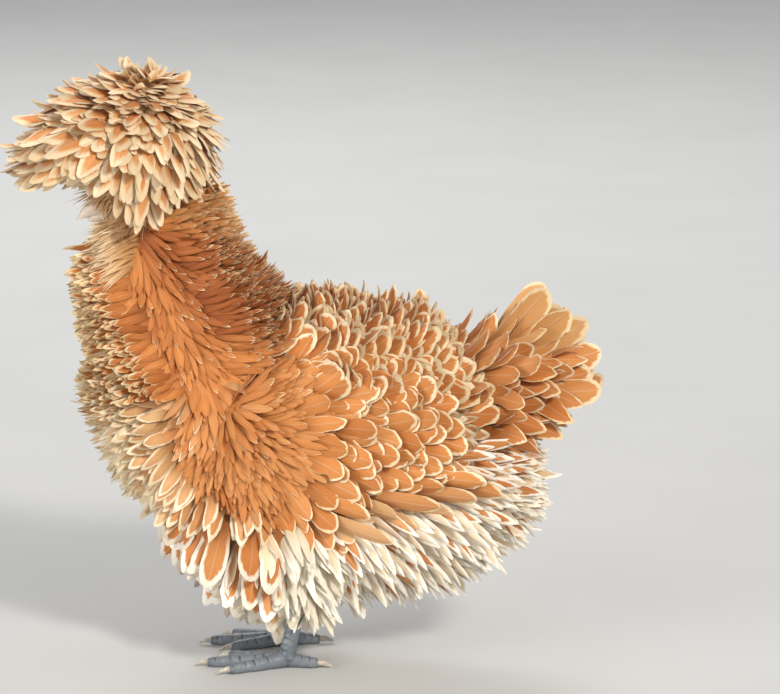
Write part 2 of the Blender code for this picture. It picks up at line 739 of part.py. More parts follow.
def build_thigh(side):
    walls = [BODY_OVER_THIGHS.back(), MIDLINE[side]]
    below = cut(BELLY.mesh("below", 12, 16), *walls)
    rows = [(x, side * out, z, deep, wide) for x, out, z, deep, wide in THIGH_SPINE]
    drum = cut(Form(rows, FORWARD).mesh("drum", 5, 12), *walls, SHANK_BELOW_THIGH.back())
    coat = Plumage(9 + side, walls)

    def hanging(turn, lengthwise, out):
        return 0.7 * lengthwise - Vector(UP)

    fluff = Vane(38, 18, 34, 14)
    turns = (-side * 126, -side * 177)
    coat.rows(BELLY, fluff, (0.12, 0.9), 12, turns, hanging, either=LEG_WALLS[side])
    return node(f"thigh_{SIDES[side]}", "fluff", below, [drum, *coat.vanes])


SHANK_BELOW_THIGH = Wall((0, 0, 0.056), (0, 0, -1))
FOOT_BELOW_SHANK = Wall((0, 0, 0.012), (0, 0, -1))
FLOOR = Wall((0, 0, -HALF_GAP), (0, 0, 1))


def build_shank(side):
    """A shank whose front carries a row of overlapping plates."""
    y = side * STANCE_HALF_WIDTH
    top, bottom = Vector((HOCK[0], y, HOCK[1] - 2)), Vector((FOOT_CENTRE_X, y, 8))
    shape = bmesh.new()
    loops = []
    for k in range(2 * SCUTES + 1):
        share = k / (2 * SCUTES)
        plate, raised = (0.55, 0.03) if k % 2 else (0.0, 0.0)
        middle = top.lerp(bottom, share - raised)
        broad = SHANK_RADIUS + 1.6 * (2 * share - 1) ** 4
        ring = []
        for corner in range(8):
            front, aside = math.cos(math.tau * corner / 8), math.sin(math.tau * corner / 8)
            around = Vector((-front * (broad + plate * max(front, 0)), aside * broad, 0))
            ring.append(shape.verts.new((middle + around) * MM))
        loops.append(ring)
    for a, b in zip(loops, loops[1:]):
        for corner in range(8):
            shape.faces.new([a[corner], a[(corner + 1) % 8], b[(corner + 1) % 8], b[corner]])
    shape.faces.new(loops[0])
    shape.faces.new(loops[-1])
    shank = cut(finished("shank", shape), SHANK_BELOW_THIGH, FOOT_BELOW_SHANK.back())
    return node(f"shank_{SIDES[side]}", "shank_scale", shank)


def toe_way(side, name):
    turn, length = TOES[name]
    angle = math.radians(turn)
    return Vector((-math.cos(angle), side * math.sin(angle), 0)), length


def toe_end(side, name):
    way, length = toe_way(side, name)
    return Vector((FOOT_CENTRE_X, side * STANCE_HALF_WIDTH, 0)) * MM + way * length * MM


def build_foot(side):
    centre = Vector((FOOT_CENTRE_X, side * STANCE_HALF_WIDTH, 0))
    pieces = []
    for name in TOES:
        way, length = toe_way(side, name)
        rows = []
        for share, height, radius in TOE_PROFILE:
            place = centre + way * length * share
            rows.append((place.x, place.y, height, radius, radius))
        toe = Form(rows, UP).mesh("toe", 4, 6)
        end = Wall(toe_end(side, name), -way)
        pieces.append(cut(toe, end, FLOOR))
    x, y = centre.x, centre.y
    pad = Form([(x - 7, y, 4.5, 0, 0), (x, y, 5, 5.5, 7), (x + 7, y, 4.5, 0, 0)], UP)
    pad = cut(pad.mesh("pad", 6, 8), FLOOR)
    top = Form([(x + 0.5, y, 4, 5, 5), (x + 2, y, 14, 6.2, 5.7)], FORWARD)
    pieces.append(cut(top.mesh("top", 2, 8), FOOT_BELOW_SHANK, FLOOR))
    return node(f"foot_{SIDES[side]}", "shank_scale", pad, pieces)


def build_claw(side, name):
    way, _ = toe_way(side, name)
    root = toe_end(side, name) / MM
    rows = []
    for share, height, radius in CLAW_PROFILE:
        place = root + way * CLAW_LENGTH * share
        rows.append((place.x, place.y, height, radius, radius * 0.8))
    claw = Form(rows, UP).mesh("claw", 5, 6)
    cut(claw, Wall(root * MM, way), FLOOR)
    return node(f"claw_{SIDES[side]}_{name}", "claw_horn", claw)


def build_tail():
    core = cut(TAIL.mesh("tail", 8, 12), TAIL_BEHIND_TORSO)
    coat = Plumage(13, [TAIL_BEHIND_TORSO])
    quill = Vane(76, 23, 2, 10, thick=1.6, sink=6)
    covert = Vane(46, 18, 30, 46)
    for side in SIDES:
        tent = Vector((0, side, 0.45)).normalized()
        for pair in range(TAIL_PAIRS):
            share = pair / (TAIL_PAIRS - 1)
            rise, splay = math.radians(50 - 44 * share), math.radians(3 + 14 * share)
            way = Vector((math.cos(rise) * math.cos(splay), side * math.sin(splay), math.sin(rise)))
            root = Vector((139 + 9 * share, side * (2.5 + 2.2 * pair), 198 - 16 * share)) * MM
            coat.add(quill, root, way, tent)
        coat.rows(TAIL, covert, (0.28, 0.5), 1, (-side * 10, -side * 150))
    return node("tail", "body_feathers", core, coat.vanes)


def centre_over_origin():
    """Moves every mesh so that the middle of the whole bounding box is above the origin."""
    places = [vert.co for thing in bpy.data.objects for vert in thing.data.vertices]
    shift = Vector([-(max(v) + min(v)) / 2 for v in ([p.x for p in places], [p.y for p in places])] + [0])
    for thing in bpy.data.objects:
        for vert in thing.data.vertices:
            vert.co += shift


clear_scene()
build_crest()
build_head()
build_beak()
build_neck()
build_torso()
build_tail()
for hand in SIDES:
    build_eye(hand)
    build_wing(hand)
    build_thigh(hand)
    build_shank(hand)
    build_foot(hand)
    for toe_name in TOES:
        build_claw(hand, toe_name)
centre_over_origin()
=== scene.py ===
"""The looks of a life-size frizzled Padovana hen: skin, feathers, bill, eyes and legs in a plain studio.

Metres, +Z up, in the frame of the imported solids. The hen faces -X with her left side at -Y.
Sizes inside the sections are in millimetres: x from the middle of her body towards the tail, and z
up from the floor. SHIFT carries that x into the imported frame, and comes from the left eye's solid.
"""

import math

import bmesh
import bpy
import numpy as np
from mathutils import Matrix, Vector


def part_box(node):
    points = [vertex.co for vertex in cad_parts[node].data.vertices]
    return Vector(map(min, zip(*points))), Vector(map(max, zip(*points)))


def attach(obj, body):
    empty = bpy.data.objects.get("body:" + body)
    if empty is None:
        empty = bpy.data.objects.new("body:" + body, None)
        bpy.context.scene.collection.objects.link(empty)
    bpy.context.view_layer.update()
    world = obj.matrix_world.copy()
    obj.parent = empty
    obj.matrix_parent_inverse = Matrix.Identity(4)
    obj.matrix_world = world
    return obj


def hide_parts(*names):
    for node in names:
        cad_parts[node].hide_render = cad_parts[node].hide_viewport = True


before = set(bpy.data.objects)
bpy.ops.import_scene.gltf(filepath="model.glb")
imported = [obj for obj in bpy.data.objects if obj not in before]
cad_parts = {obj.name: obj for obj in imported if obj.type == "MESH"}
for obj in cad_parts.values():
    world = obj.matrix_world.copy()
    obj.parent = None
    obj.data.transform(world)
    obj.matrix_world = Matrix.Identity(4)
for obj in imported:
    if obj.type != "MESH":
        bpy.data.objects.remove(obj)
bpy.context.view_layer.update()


# Room: a pale seamless floor, a soft key lamp high on the right and wide fills, and a long lens at
# the height of a standing person's hip, tilted down, which is how the photograph was taken.
MM = 0.001
# The eyes lie this far from the middle of the body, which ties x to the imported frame.
EYE_X = -94
eye_low, eye_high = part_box("eye_left")
SHIFT = (eye_low[0] + eye_high[0]) / 2 / MM - EYE_X

CAMERA_TILT = math.radians(12)
CAMERA_DISTANCE = 3.0
CAMERA_LENS = 209.8
CAMERA_TARGET = Vector((80.5 + SHIFT, 0, 211.2)) * MM


def look_at(thing, place, target):
    thing.location = place
    thing.rotation_euler = (Vector(target) - Vector(place)).to_track_quat("-Z", "Y").to_euler()
    bpy.context.collection.objects.link(thing)


def new_material(name, **values):
    """A material and its node tree, with these values on its shader, such as Sheen_Weight."""
    made = bpy.data.materials.new(name)
    made.use_nodes = True
    shader = made.node_tree.nodes["Principled BSDF"]
    for socket, value in values.items():
        shader.inputs[socket.replace("_", " ")].default_value = value
    return made, made.node_tree


def add_node(tree, kind, values=None, **settings):
    """A node with these settings, and these values or sockets at its inputs. Gives its outputs."""
    node = tree.nodes.new(kind if kind.startswith("NodeGroup") else f"ShaderNode{kind}")
    for name, value in settings.items():
        setattr(node, name, value)
    for socket, value in (values or {}).items():
        if isinstance(value, bpy.types.NodeSocket):
            tree.links.new(value, node.inputs[socket])
        else:
            node.inputs[socket].default_value = value
    return node.outputs


def object_place(tree):
    return add_node(tree, "TexCoord")["Object"]


def noise(tree, place, scale, detail):
    inputs = {"Vector": place, "Scale": scale, "Detail": detail}
    return add_node(tree, "TexNoise", inputs)["Fac"]


def blend(tree, share, *colours, mode="MIX"):
    """Two colours mixed by the share, or the second laid over the first in the mode given."""
    first, second = ((*c, 1) if isinstance(c, tuple) else c for c in colours)
    inputs = {"Factor": share, 6: first, 7: second}
    return add_node(tree, "Mix", inputs, data_type="RGBA", blend_type=mode)[2]


def finished(made, colour, height=None, strength=0.5, distance=0.0004):
    """Feeds a material's shader its colour and its relief, and gives the material back."""
    tree = made.node_tree
    shader = tree.nodes["Principled BSDF"].inputs
    tree.links.new(colour, shader["Base Color"])
    if height:
        inputs = {"Height": height, "Strength": strength, "Distance": distance}
        tree.links.new(add_node(tree, "Bump", inputs)["Normal"], shader["Normal"])
    return made


FLOOR_SIZE, FLOOR_SHADES = 14, ((0.56, 0.56, 0.55), (0.62, 0.62, 0.61))
bpy.ops.mesh.primitive_grid_add(x_subdivisions=2, y_subdivisions=2, size=FLOOR_SIZE)
floor = bpy.context.object
floor.name = "floor"
pale_floor, tree = new_material("pale_floor", Roughness=0.9, Specular_IOR_Level=0.2)
grain = noise(tree, object_place(tree), 6.0, 4.0)
floor.data.materials.append(finished(pale_floor, blend(tree, grain, *FLOOR_SHADES)))

camera = bpy.data.objects.new("camera", bpy.data.cameras.new("camera"))
camera.data.lens = CAMERA_LENS
camera.data.clip_end = 50
back_off = Vector((0, -math.cos(CAMERA_TILT), math.sin(CAMERA_TILT))) * CAMERA_DISTANCE
look_at(camera, CAMERA_TARGET + back_off, CAMERA_TARGET)
bpy.context.scene.camera = camera

# Name, place in metres, width in metres, watts and colour.
LAMPS = (
    ("key", (1.3, -2.4, 1.9), 0.5, 76, (1.0, 0.95, 0.87)),
    ("fill", (-2.5, -1.9, 0.7), 1.6, 50, (1.0, 0.98, 0.95)),
    ("back", (-0.4, 2.2, 2.0), 1.4, 34, (1.0, 1.0, 1.0)),
)
LAMPS_AIM = (0, 0, 0.2)
for name, place, size, power, colour in LAMPS:
    lamp = bpy.data.lights.new(name, "AREA")
    lamp.size, lamp.energy, lamp.color = size, power, colour
    look_at(bpy.data.objects.new(name, lamp), place, LAMPS_AIM)

bpy.context.scene.view_settings.view_transform = "Standard"
world = bpy.data.worlds.new("studio")
world.use_nodes = True
sky = world.node_tree.nodes["Background"].inputs
sky["Color"].default_value, sky["Strength"].default_value = (0.90, 0.91, 0.93, 1), 0.55
bpy.context.scene.world = world


# Skin: the bird's own body under the coat, one seamless surface over breast, neck, head, wing pads,
# thighs and tail. It lies as deep below the solids as the coat is thick, and carries its markings.
TORSO_SPINE = (
    (-97, 192, 0, 0),
    (-80, 184, 38, 33),
    (-46, 165, 58, 44),
    (1, 149, 71, 49),
    (44, 145, 73, 49),
    (86, 144, 69, 45),
    (116, 150, 51, 34),
    (136, 158, 0, 0),
)
NECK_SPINE = (
    (-44, 190, 50, 38),
    (-54, 222, 41, 34),
    (-67, 249, 31, 29),
    (-75, 276, 25, 25),
    (-81, 306, 20, 20),
)
HEAD_SPINE = (
    (-64, 325, 0, 0),
    (-77, 320, 16, 14),
    (-92, 313, 17, 15.5),
    (-104, 307, 12.5, 11),
    (-112, 303, 0, 0),
)
TAIL_SPINE = ((114, 170, 25, 20), (132, 184, 21, 16), (150, 197, 14, 11), (162, 206, 0, 0))
WING_SPINE = ((-34, 164, 0, 0), (-8, 160, 40, 9), (32, 158, 46, 10), (74, 164, 36, 9), (110, 174, 0, 0))
THIGH_SPINE = ((2, 124, 44, 20), (8, 98, 34, 19), (18, 76, 18, 13), (26, 62, 8, 7), (27, 56, 0, 0))
WING_OUT, THIGH_OUT = 44, 26
KNOB_CENTRE, KNOB_RADII = (-86, 0, 343), (31, 29, 26)
SKIN_VOXEL = 2.6
EYE_LEVEL = 315
SIDES = {"left": -1, "right": 1}
UP, BACKWARD = np.array((0.0, 0.0, 1.0)), np.array((1.0, 0.0, 0.0))


def unit(vectors):
    return vectors / np.maximum(np.linalg.norm(vectors, axis=-1, keepdims=True), 1e-9)


def along_surface(vectors, out):
    """The vectors laid flat on the surface that faces out, at length one."""
    return unit(vectors - out * np.sum(vectors * out, axis=-1, keepdims=True))


class Form:
    """A round form along a spine. The squares of its radii are smoothed, which rounds its ends."""

    def __init__(self, spine, upright=UP, offset=0.0):
        """Rows of the spine are x, z, half depth, half width, or x, y, z and the two halves."""
        rows = [(r[0], offset, *r[1:]) if len(r) == 4 else r for r in spine]
        knots = np.array(rows, float) * MM
        knots[:, 0] += SHIFT * MM
        knots[:, 3:] **= 2
        self.knots, self.upright = knots, np.asarray(upright, float)

    def smooth(self, t):
        last = len(self.knots) - 1
        place = np.clip(t, 0, 1) * last
        i = np.minimum(place.astype(int), last - 1)
        f = (place - i)[:, None]
        p, q = self.knots[np.maximum(i - 1, 0)], self.knots[i]
        r, s = self.knots[i + 1], self.knots[np.minimum(i + 2, last)]
        squares, cubes = (2 * p - 5 * q + 4 * r - s) * f**2, (3 * q - p - 3 * r + s) * f**3
        return 0.5 * (2 * q + (r - p) * f + squares + cubes)

    def axes(self, t):
        along = unit(self.smooth(t + 0.01)[:, :3] - self.smooth(t - 0.01)[:, :3])
        depth = along_surface(np.broadcast_to(self.upright, along.shape), along)
        return along, depth, np.cross(along, depth)

    def at(self, t, turn):
        """Surface points at t along the spine, turned from the depth axis towards the width axis."""
        t, turn = np.broadcast_arrays(np.asarray(t, float), np.asarray(turn, float))
        _, depth, width = self.axes(t)
        row = self.smooth(t)
        deep, wide = np.sqrt(np.maximum(row[:, 3:], 0)).T
        up, aside = (deep * np.cos(turn))[:, None], (wide * np.sin(turn))[:, None]
        return row[:, :3] + depth * up + width * aside

    def facing(self, t, turn):
        """The outward ways there."""
        step, bit = 0.006, 0.02
        low, high = np.maximum(t - step, 0.0), np.minimum(t + step, 1.0)
        lengthwise = self.at(high, turn) - self.at(low, turn)
        around = self.at(t, turn + bit) - self.at(t, turn - bit)
        out = unit(np.cross(around, lengthwise))
        inside = np.sum(out * (self.at(t, turn) - self.smooth(t)[:, :3]), axis=1) < 0
        return np.where(inside[:, None], -out, out)

    def mesh(self, name, rings=28, corners=32):
        """A closed mesh object, with its rings crowded towards both ends."""
        shares = 0.5 - 0.5 * np.cos(np.pi * np.arange(rings + 1) / rings)
        return tube(name, self.at(*rounds(shares, corners)), corners)


def rounds(shares, corners):
    """One ring of corners at each share: the shares, and the turns from corner to corner."""
    return np.repeat(shares, corners), np.tile(math.tau * np.arange(corners) / corners, len(shares))


def placed(name, data):
    made = bpy.data.objects.new(name, data)
    bpy.context.collection.objects.link(made)
    return made


def between(grid):
    """The faces from each ring of the grid to the next, and from the last one to the first."""
    onward, beside = np.roll(grid, -1, axis=0), np.roll(grid, -1, axis=1)
    return np.stack((grid, beside, np.roll(onward, -1, axis=1), onward), axis=-1)


def tube(name, points, corners, loop=False):
    """A smooth object through rings of corners: a loop, or a tube with a face across each end."""
    grid = np.arange(len(points)).reshape(-1, corners)
    faces, ends = between(grid), []
    if not loop:
        faces, ends = faces[:-1], [grid[0, ::-1].tolist(), grid[-1].tolist()]
    data = bpy.data.meshes.new(name)
    data.from_pydata(points.tolist(), [], faces.reshape(-1, 4).tolist() + ends)
    shape = bmesh.new()
    shape.from_mesh(data)
    bmesh.ops.remove_doubles(shape, verts=shape.verts, dist=1e-6)
    bmesh.ops.recalc_face_normals(shape, faces=shape.faces)
    shape.to_mesh(data)
    shape.free()
    data.shade_smooth()
    return placed(name, data)


def joined(name, pieces):
    """Joins the pieces into one object of that name."""
    bpy.ops.object.select_all(action="DESELECT")
    for piece in pieces:
        piece.select_set(True)
    bpy.context.view_layer.objects.active = pieces[0]
    bpy.ops.object.join()
    pieces[0].name = pieces[0].data.name = name
    return pieces[0]


def hand_over(piece, material, slot, *stands_for):
    """Gives a piece its finish, lets it ride on the hen, and hides the solids it stands for."""
    piece.data.materials.append(material)
    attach(piece, "root")
    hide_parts(*stands_for)


def in_frame(places):
    """Millimetres on the bird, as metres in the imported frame."""
    return (np.asarray(places, float) + (SHIFT, 0, 0)) * MM


def on_bird(points):
    """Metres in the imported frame, as rows of x, y and z in millimetres on the bird."""
    return (points / MM - (SHIFT, 0, 0)).T


def knob_at(down, around):
    """Surface points and outward ways on the skull's knob: down from its crown, around from behind."""
    way = np.stack((np.sin(down) * np.cos(around), np.sin(down) * np.sin(around), np.cos(down)), axis=-1)
    radii = np.array(KNOB_RADII) * MM
    return in_frame(KNOB_CENTRE) + way * radii, unit(way / radii)


def eased(value, low, high):
    share = np.clip((value - low) / (high - low), 0, 1)
    return share * share * (3 - 2 * share)


def markings(points):
    """Tone from straw to rust, and paleness, over the whole bird.

    The crest is straw, the neck buff in front and rust behind, the breast a little paler, and the
    vent and the fluff are cream.
    """
    x, _, z = on_bird(points)
    crest = eased(z + 0.35 * (x + 95), 302, 318)
    neck = eased(z - 0.3 * x, 214, 244) * (1 - crest)
    behind = eased(x + 0.9 * (z - 250), -76, -36)
    fluff = eased(x - 0.9 * (z - 60), -35, 25) * (1 - eased(z, 112, 150))
    tone = 0.42 + neck * (0.10 + 0.30 * behind) - 0.22 * crest
    front = (1 - eased(x, -84, -40)) * (1 - eased(z, 180, 240))
    pale = 0.86 * fluff + 0.16 * crest + 0.14 * front
    return np.clip(tone, 0, 1), np.clip(pale, 0, 1)


def paint(data, name, values):
    """Stores four numbers for each point of a mesh."""
    layer = data.attributes.new(name, "FLOAT_COLOR", "POINT").data
    layer.foreach_set("color", np.ascontiguousarray(values, "f").ravel())


def marks_of(tree):
    """The four numbers that paint stored for this point."""
    marks = add_node(tree, "VertexColor", layer_name="Mark")
    parts = add_node(tree, "SeparateColor", {"Color": marks["Color"]})
    return (*parts[:3], marks["Alpha"])


def spread(tree, value, low, high, to_low=0.0, to_high=1.0, way="SMOOTHSTEP"):
    """The value eased from low..high to 0..1, or to the two values given."""
    inputs = {"Value": value, "From Min": low, "From Max": high, "To Min": to_low, "To Max": to_high}
    return add_node(tree, "MapRange", inputs, interpolation_type=way)[0]


def cells(tree, place, scale):
    return add_node(tree, "TexVoronoi", {"Vector": place, "Scale": scale})["Distance"]


def new_group(name, inputs, outputs, kind="NodeSocketFloat"):
    """An empty node group with number inputs and one kind of output, and what will be fed to it."""
    group = bpy.data.node_groups.new(name, "ShaderNodeTree")
    for socket in inputs:
        group.interface.new_socket(socket, in_out="INPUT", socket_type="NodeSocketFloat")
    for socket in outputs:
        group.interface.new_socket(socket, in_out="OUTPUT", socket_type=kind)
    return group, add_node(group, "NodeGroupInput")


STRAW, BUFF, RUST = (0.66, 0.34, 0.125), (0.60, 0.215, 0.052), (0.36, 0.095, 0.018)
OAT, CREAM = (0.80, 0.56, 0.30), (0.94, 0.88, 0.74)
FACE, FACE_CREASE = (0.50, 0.14, 0.10), (0.34, 0.08, 0.06)
DOWN = ((0.45, 0.38, 0.33), (0.8, 0.76, 0.72))


def coat_colour_group():
    """The colour of the ground of a feather from its marks: straw, buff or rust, paled to cream."""
    group, given = new_group("coat_colour", ("Tone", "Pale"), ("Color",), "NodeSocketColor")
    warm = blend(group, spread(group, given["Tone"], 0.1, 0.5), STRAW, BUFF)
    deep = blend(group, spread(group, given["Tone"], 0.45, 1.0), warm, RUST)
    oaten = blend(group, spread(group, given["Pale"], 0.0, 0.6), deep, OAT)
    pale = blend(group, spread(group, given["Pale"], 0.35, 1.0), oaten, CREAM)
    add_node(group, "NodeGroupOutput", {"Color": pale})
    return group


coat_colour = coat_colour_group()


def ground_colour(tree, tone, pale):
    inputs = {"Tone": tone, "Pale": pale}
    return add_node(tree, "Group", inputs, node_tree=coat_colour)["Color"]


def skin_material():
    """Short down in the coat's colours, and bare wrinkled flesh round the eyes."""
    made, tree = new_material("hen_skin", Roughness=0.75, Specular_IOR_Level=0.3)
    tone, pale, bare, _ = marks_of(tree)
    place = object_place(tree)
    down = noise(tree, place, 420.0, 3.0)
    shade = blend(tree, spread(tree, down, 0.3, 0.7), *DOWN)
    downy = blend(tree, 1.0, ground_colour(tree, tone, pale), shade, mode="MULTIPLY")
    flesh = blend(tree, spread(tree, cells(tree, place, 650.0), 0.1, 0.7), FACE_CREASE, FACE)
    return finished(made, blend(tree, bare, downy, flesh), down, 0.6, 0.0006)


TORSO = Form(TORSO_SPINE)
NECK = Form(NECK_SPINE, BACKWARD)
HEAD = Form(HEAD_SPINE)
TAIL = Form(TAIL_SPINE)
WINGS = {name: Form(WING_SPINE, offset=side * WING_OUT) for name, side in SIDES.items()}
THIGHS = {name: Form(THIGH_SPINE, -BACKWARD, side * THIGH_OUT) for name, side in SIDES.items()}


def from_eye(x, z):
    """How far a place is from the middle of the eye, seen from the side."""
    return np.hypot(x - EYE_X, z - EYE_LEVEL)


def build_skin():
    parts = [form.mesh("part") for form in (TORSO, NECK, HEAD, TAIL, *WINGS.values(), *THIGHS.values())]
    knob, _ = knob_at(*rounds(np.linspace(0, math.pi, 20), 24))
    skin = joined("part", [*parts, tube("part", knob, 24)])
    remesh = skin.modifiers.new("one_skin", "REMESH")
    remesh.mode, remesh.voxel_size = "VOXEL", SKIN_VOXEL * MM
    ease = skin.modifiers.new("ease", "SMOOTH")
    ease.iterations = 4
    data = bpy.data.meshes.new_from_object(skin.evaluated_get(bpy.context.evaluated_depsgraph_get()))
    skin.modifiers.clear()
    skin.data = data
    skin.name = data.name = "skin"
    points = np.empty(len(data.vertices) * 3)
    data.vertices.foreach_get("co", points)
    points = points.reshape(-1, 3)
    x, _, z = on_bird(points)
    bare = 1 - eased(from_eye(x, z), 6, 10)
    paint(data, "Mark", np.stack((*markings(points), bare, np.ones(len(x))), axis=-1))
    data.materials.clear()
    data.shade_smooth()
    return skin


COVERED = [f"{part}_{side}" for part in ("wing", "thigh") for side in SIDES]
COVERED = ["torso", "neck", "head", "crest", "tail", *COVERED]
hand_over(build_skin(), skin_material(), "body_feathers", *COVERED)


# Crest: the full globe of broad, pointed feathers of a laced hen, which radiate from the knob of the
# skull and fall over like tiles, the front ones forward as a brim. Each is a solid vane with a shaft.
BLUNT_TIP, SHAFT_DEPTH, RIM_CREASE = 0.07, 0.5, 58
LENGTHS, WIDTHS = (0.88, 1.1), (0.9, 1.1)
ROWS_CLOSER, STAGGER = 0.92, 0.25
SPLIT_BARBS, SPLIT_TO, MAP_PATCH = 0.05, 0.72, 0.003


class Vane:
    """One kind of feather. Lengths are in millimetres, angles in degrees.

    It leaves its root, `sink` deep in the skin, at `lift` above its lie, has turned by `bend` at its
    tip, and its last part turns out by `flick` more, as frizzled feathers do. Its outline starts at
    the share `base` of its width, is broadest at `broadest`, and closes round where `close` is 2 and
    to a point where it is near 1. It is hollow below by `cup`, `frayed` at its rim and `unruly` by
    some degrees, and is built from `stations` along its shaft with `across` points each.
    """

    across, stations, cup, sink, unruly, frayed, flick = 5, 9, 0.12, 3.5, 8, 0.07, 14

    def __init__(self, length, width, lift, bend, base=0.5, broadest=0.6, close=1.6, **finer):
        self.length, self.width, self.lift, self.bend = length, width, lift, bend
        self.base, self.broadest, self.close = base, broadest, close
        vars(self).update(finer)

    def half_widths(self, share):
        rising = self.base + (1 - self.base) * np.sin(np.clip(share / self.broadest, 0, 1) * math.pi / 2)
        past = np.clip((share - self.broadest) / (1 - self.broadest), 0, 1)
        return np.maximum(rising * (1 - past**self.close) ** (1 / self.close), BLUNT_TIP) / 2


class Roots:
    """Where feathers grow: points on the skin, the outward ways, and places on the skin's unwrap."""

    def __init__(self, points, out, place):
        self.points, self.out, self.place = points, out, place
        self.x, self.y, self.z = on_bird(points)

    def where(self, chosen):
        return Roots(self.points[chosen], self.out[chosen], self.place[chosen])


def rows_on(form, gap, chance, span=(0.0, 1.0), turns=(-180, 180)):
    """Staggered rows of roots about `gap` millimetres apart over part of a form."""

    def legs(points):
        return np.linalg.norm(np.diff(points, axis=0), axis=1)

    steps, around = np.linspace(*span, 80), np.linspace(*np.radians(turns), 49)
    run = np.mean([legs(form.at(steps, turn)) for turn in around[::6]], axis=0)
    run = np.concatenate(([0], np.cumsum(run)))
    count = max(int(run[-1] / (gap * MM * ROWS_CLOSER)), 1)
    levels = np.interp((np.arange(count) + 0.5) / count * run[-1], run, steps)
    t, turn = [], []
    for row, level in enumerate(levels):
        ring = np.concatenate(([0], np.cumsum(legs(form.at(level, around)))))
        many = max(int(ring[-1] / (gap * MM)), 1)
        places = (np.arange(many) + 0.5 + (STAGGER if row % 2 else -STAGGER)) / many
        places = places + chance.uniform(-0.22, 0.22, many) / many
        turn.append(np.interp(np.clip(places, 0, 1) * ring[-1], ring, around))
        t.append(np.clip(level + chance.uniform(-0.25, 0.25, many) * (span[1] - span[0]) / count, *span))
    t, turn = np.concatenate(t), np.concatenate(turn)
    return Roots(form.at(t, turn), form.facing(t, turn), np.stack((turn / math.tau + 0.5, t), axis=-1))


def turned(first, second, angle):
    """Two directions turned by the angle in their common plane."""
    along, across = np.cos(angle)[..., None], np.sin(angle)[..., None]
    return along * first + across * second, along * second - across * first


